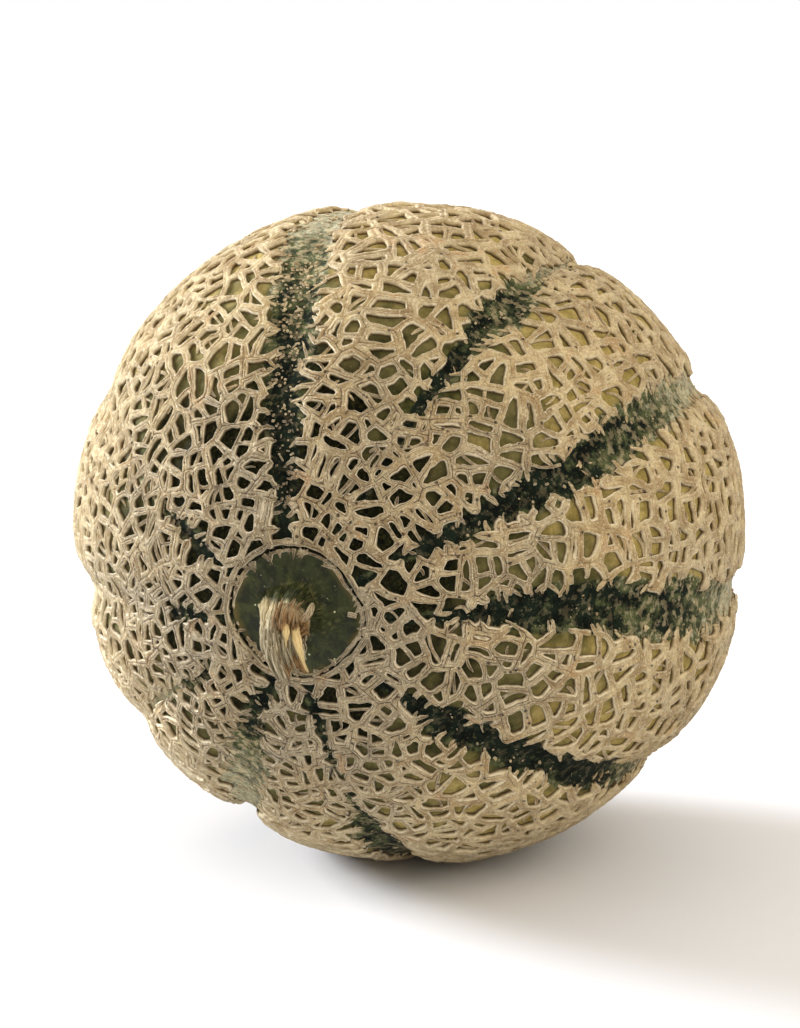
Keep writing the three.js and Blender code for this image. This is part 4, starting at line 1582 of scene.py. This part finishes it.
# long pale ridges down the left and upper side
for a_mid, w_, lift_, t1_ in ((176, 0.58, -0.35, 1.04), (165, 0.70, -0.25, 1.06), (154, 0.64, -0.15, 1.02), (147, 0.46, -0.30, 0.97),
                              (124, 0.50, -0.30, 0.93), (116, 0.52, -0.15, 0.62), (109, 0.40, -0.20, 0.58), (190, 0.52, -0.4, 1.0),
                              (203, 0.6, -0.15, 1.02), (226, 0.6, -0.2, 0.98), (243, 0.55, -0.2, 1.03), (255, 0.6, -0.2, 0.95),
                              (275, 0.6, -0.2, 1.0), (292, 0.55, -0.2, 0.97), (306, 0.6, -0.15, 0.9), (330, 0.55, -0.15, 0.62)):
    u_ = np.linspace(0.0 if 140 < a_mid < 230 else 0.22, t1_, 22)
    wob_ = 2.2 * np.sin(u_ * 7 + a_mid) + rg.normal(0, 0.5, len(u_))
    w2 = w_ * (0.55 + 0.45 * np.sin(math.pi * np.clip(u_ / t1_, 0, 1) ** 0.6)) * (1 + 0.10 * rg.standard_normal(len(u_)))
    stem.tube(on_stem(u_, a_mid + wob_, lift_ + 0.12 * rg.standard_normal(len(u_))), w2, 8, 0.8,
              grn=np.array([1.0, 0.35, 0.05, 0, 0, 0, 0, 0, 0, 0]), yel=np.array([0.5, 0.55, 0.4, 0.3, 0.2, 0.1, 0.05, 0, 0, 0]),
              brn=np.array([0, 0, 0.0, 0.05, 0.05, 0.1, 0.1, 0.1, 0.15, 0.25]))
# torn brown fibres on the right and outer side
for i in range(26):
    a_mid = rg.uniform(-32, 102)
    t0_ = rg.uniform(0.22, 0.33)
    t1_ = rg.uniform(0.46, 0.60)
    u_ = np.linspace(t0_, t1_, 11)
    out_ = np.linspace(0, 1, 11) ** 3 * rg.uniform(-0.1, 0.9)
    w_ = rg.uniform(0.22, 0.46) * np.clip(1.15 - np.linspace(0, 1, 11) ** 3, 0.12, 1)
    br = rg.uniform(0.55, 1.0)
    stem.tube(on_stem(u_, a_mid + rg.normal(0, 3) * np.linspace(0, 1, 11), 0.05 + out_), w_, 6, 0.9,
              brn=np.array([0.15, 0.5, br, br, br * 0.9]), yel=np.array([0.5, 0.3, 0.1, 0.1, 0.2]), grn=np.array([0.5, 0.0, 0, 0, 0]))
# splinters that stand up at the break
for i in range(9):
    a_mid = rg.uniform(20, 104)
    base_ = on_stem(np.array([rg.uniform(0.24, 0.36)]), a_mid, 0.1)[0]
    _, sd_, ov_, tg_ = stem_frame(np.array([0.3]))
    outw = sd_[0] * math.cos(a_mid * DEG) + ov_[0] * math.sin(a_mid * DEG)
    dirn = unit(outw * 0.45 - tg_[0] * rg.uniform(0.2, 0.9) + sd_[0] * rg.normal(0, 0.2))
    ln = rg.uniform(1.2, 2.4)
    u_ = np.linspace(-0.4, 1, 7)[:, None]
    stem.tube(base_ + dirn * ln * u_, np.array([0.42, 0.40, 0.36, 0.30, 0.22, 0.14, 0.05]), 6, 0.6, brn=np.array([0.9, 0.8, 0.45]), yel=np.array([0.0, 0.1, 0.4]))
# a blunt tan splinter up to the right
base_ = on_stem(np.array([0.40]), 28.0, -0.3)[0]
tip_ = base_ + np.array([2.9, -0.6, 3.9])
u_ = np.linspace(0, 1, 10)[:, None]
stem.tube(base_ * (1 - u_) + tip_ * u_ + np.array([0.5, 0, -0.3]) * np.sin(math.pi * u_), np.array([1.15, 1.1, 1.05, 1.0, 0.95, 0.92, 0.88, 0.8, 0.62, 0.3]), 10, 0.62,
          brn=np.array([0.8, 0.6, 0.4, 0.32, 0.3]), yel=np.array([0.1, 0.1, 0.2]))
# pale inner fibres laid open under the break
for a_mid, t0_, t1_, w_, bend_, off_ in ((34, 0.47, 1.03, 1.16, 4, 1.5), (66, 0.48, 0.74, 0.84, 0, -0.2)):
    u_ = np.linspace(t0_, t1_, 18)
    v_ = np.linspace(0, 1, 18)
    w2 = w_ * np.where(v_ < 0.35, 0.80 + 0.57 * v_, 1.0 - 0.66 * smooth(0.30, 0.85, v_)) * (1 + 0.10 * np.sin(v_ * 9 + a_mid))
    w2[-1] *= 0.4
    stem.tube(on_stem(u_, a_mid - bend_ * v_ ** 1.5, -1.0 + 0.5 * np.sin(math.pi * v_)) + (v_ ** 2.2)[:, None] * np.array([off_, 0.2, -0.2]), w2, 10, 0.55,
              yel=np.array([1.0, 1.0, 0.95, 0.8]), brn=np.array([0.35, 0.02, 0.02, 0.12]))
# grey loose fibres towards the end
for i in range(64):
    a_mid = rg.uniform(30, 200) if i % 3 else rg.uniform(0, 360)
    t0_ = rg.uniform(0.46, 0.74)
    t1_ = min(t0_ + rg.uniform(0.2, 0.42), 1.09)
    u_ = np.linspace(t0_, t1_, 9)
    deep = -1.45 if -30 < wrap(a_mid) < 100 else -0.1
    stem.tube(on_stem(u_, a_mid + rg.normal(0, 15) * np.linspace(-0.3, 1, 9), deep + rg.uniform(-0.35, 0.45) + 0.2 * np.sin(np.linspace(0, 5, 9) + i)),
              rg.uniform(0.16, 0.34) * np.clip(1.2 - np.linspace(0, 1, 9) ** 2, 0.2, 1), 5, 0.9, brn=np.array([0.2, 0.1, 0.15]), yel=np.array([0.1, 0.05, 0.0]))


def stem_material():
    s = Shade("stem_fibre")
    brn_, yel_, grn_ = s.attr("brn"), s.attr("yel"), s.attr("grn")
    ta, tl = s.attr("ta"), s.attr("tl")
    fib = s.noise(1.0, 4.0, 0.62, vector=s.vec(s.mul(ta, 3.6), s.mul(tl, 0.42), 0.0))
    fine = s.noise(2400.0, 3.0, 0.6)
    mid = s.noise(620.0, 2.0)
    col = s.mix(s.step(fib, 0.36, 0.64), lin(106, 97, 78), lin(222, 212, 182))
    col = s.mix(yel_, col, s.mix(s.step(fib, 0.35, 0.62), lin(198, 172, 116), lin(236, 212, 160)))
    col = s.mix(brn_, col, s.mix(s.step(fib, 0.36, 0.62), lin(84, 60, 34), lin(168, 128, 82)))
    foot = s.mix(s.step(mid, 0.35, 0.65), lin(28, 32, 14), lin(48, 54, 25))
    foot = s.mix(s.mul(s.step(fib, 0.46, 0.70), 0.42), foot, lin(128, 124, 86))
    col = s.mix(grn_, col, foot)
    col = s.mix(s.step(fine, 0.60, 0.74, 0.0, 0.5), col, lin(92, 78, 54))
    h = s.math("ADD", s.mul(fib, 1.0), s.mul(fine, 0.3))
    return s.done(col, s.step(fine, 0.3, 0.7, 0.72, 0.92), s.bump(h, 0.8, 0.0004), 0.12)


SV = np.concatenate(stem.v)
SV[:, 2] += CENTRE_Z
stem_ob = add_mesh("stem", SV * 0.001, np.concatenate(stem.f), {k_: np.concatenate(v_) for k_, v_ in stem.at.items()}, stem_material())
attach(stem_ob, "root")
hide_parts("stem_stub")

# ------------------------------------------------------------------ floor, light, camera
bpy.ops.mesh.primitive_plane_add(size=12.0, location=(0, 0, 0))
floor = bpy.context.object
floor.name = "floor"


def floor_material():
    s = Shade("floor_paper")
    n = s.noise(900.0, 3.0)
    col = s.mix(s.step(s.noise(14.0, 2.0), 0.3, 0.7), (0.800, 0.812, 0.868, 1), (0.820, 0.832, 0.888, 1))
    ray = s.nt.nodes.new("ShaderNodeLightPath")
    col = s.mix(ray.outputs["Is Diffuse Ray"], col, (0.63, 0.63, 0.64, 1))
    return s.done(col, s.step(n, 0.3, 0.7, 0.82, 0.92), s.bump(n, 0.15, 0.0001), 0.15)


floor.data.materials.append(floor_material())

cam_data = bpy.data.cameras.new("camera")
cam = bpy.data.objects.new("camera", cam_data)
bpy.context.scene.collection.objects.link(cam)
AZ_C, EL_C, DIST = 19.27 * DEG, 11.3 * DEG, 0.500
cdir = Vector((math.sin(AZ_C) * math.cos(EL_C), -math.cos(AZ_C) * math.cos(EL_C), math.sin(EL_C)))
target = Vector((0, 0, CENTRE_Z * 0.001))
cam.location = target + cdir * DIST
cam.rotation_euler = (-cdir).to_track_quat("-Z", "Y").to_euler()
F_PX = 2168.6
cam_data.sensor_width = 36.0
cam_data.lens = F_PX / 1028.0 * 36.0
cam_data.shift_x = -(409.5 - 400.0) / 1028.0
cam_data.shift_y = (532.0 - 514.0) / 1028.0
cam_data.clip_start = 0.01
cam_data.clip_end = 40
bpy.context.scene.camera = cam

# white surroundings: plain white to the eye, a softer warm fill for lighting
world = bpy.data.worlds.new("world")
bpy.context.scene.world = world
world.use_nodes = True
wn = world.node_tree
bg = wn.nodes["Background"]
bg.inputs["Strength"].default_value = 1.0
lp = wn.nodes.new("ShaderNodeLightPath")
wm = wn.nodes.new("ShaderNodeMix")
wm.data_type = "RGBA"
wn.links.new(lp.outputs["Is Camera Ray"], wm.inputs[0])
wt = wn.nodes.new("ShaderNodeTexCoord")
wd = wn.nodes.new("ShaderNodeVectorMath")
wd.operation = "DOT_PRODUCT"
wd.inputs[1].default_value = (-math.sin(AZ_C), math.cos(AZ_C), 0.0)
wn.links.new(wt.outputs["Generated"], wd.inputs[0])
wr = wn.nodes.new("ShaderNodeMapRange")
wr.inputs["From Min"].default_value = -0.7
wr.inputs["From Max"].default_value = 1.0
wn.links.new(wd.outputs["Value"], wr.inputs["Value"])
wg = wn.nodes.new("ShaderNodeMix")
wg.data_type = "RGBA"
wg.inputs[6].default_value = (0.520, 0.458, 0.350, 1)
wg.inputs[7].default_value = (0.55, 0.57, 0.60, 1)
wn.links.new(wr.outputs["Result"], wg.inputs[0])
wz = wn.nodes.new("ShaderNodeSeparateXYZ")
wn.links.new(wt.outputs["Generated"], wz.inputs[0])
wu = wn.nodes.new("ShaderNodeMapRange")
wu.inputs["From Min"].default_value = 0.30
wu.inputs["From Max"].default_value = 0.95
wn.links.new(wz.outputs["Z"], wu.inputs["Value"])
wh = wn.nodes.new("ShaderNodeMix")
wh.data_type = "RGBA"
wh.inputs[7].default_value = (1.17, 1.09, 0.97, 1)
wn.links.new(wu.outputs["Result"], wh.inputs[0])
wn.links.new(wg.outputs[2], wh.inputs[6])
wn.links.new(wh.outputs[2], wm.inputs[6])
wm.inputs[7].default_value = (1.0, 1.0, 1.0, 1)
wn.links.new(wm.outputs[2], bg.inputs["Color"])

right = Vector((math.cos(AZ_C), math.sin(AZ_C), 0))
ahead = Vector((-math.sin(AZ_C), math.cos(AZ_C), 0))


def sun(name, side, depth, up, strength, angle, col):
    d = bpy.data.lights.new(name, "SUN")
    d.energy = strength
    d.angle = angle * DEG
    d.color = col
    o = bpy.data.objects.new(name, d)
    bpy.context.scene.collection.objects.link(o)
    frm = (right * side + ahead * depth + Vector((0, 0, up))).normalized()
    o.rotation_euler = frm.to_track_quat("Z", "Y").to_euler()
    o.location = frm * 2.0
    return o


sun("window", -0.87, 0.43, 0.33, 6.6, 20.0, (0.95, 0.99, 1.03))
sun("fill", 0.62, -0.42, 0.60, 1.05, 50.0, (1.0, 0.92, 0.76))

bpy.context.scene.view_settings.view_transform = "Standard"
bpy.context.scene.view_settings.look = "None"

tri_n = {o.name: sum(len(p_.vertices) - 2 for p_ in o.data.polygons) for o in bpy.data.objects if o.type == "MESH" and len(o.data.polygons) > 900}
log("triangles %s, in all %d" % (tri_n, sum(tri_n.values())))
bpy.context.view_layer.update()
log("before finish")
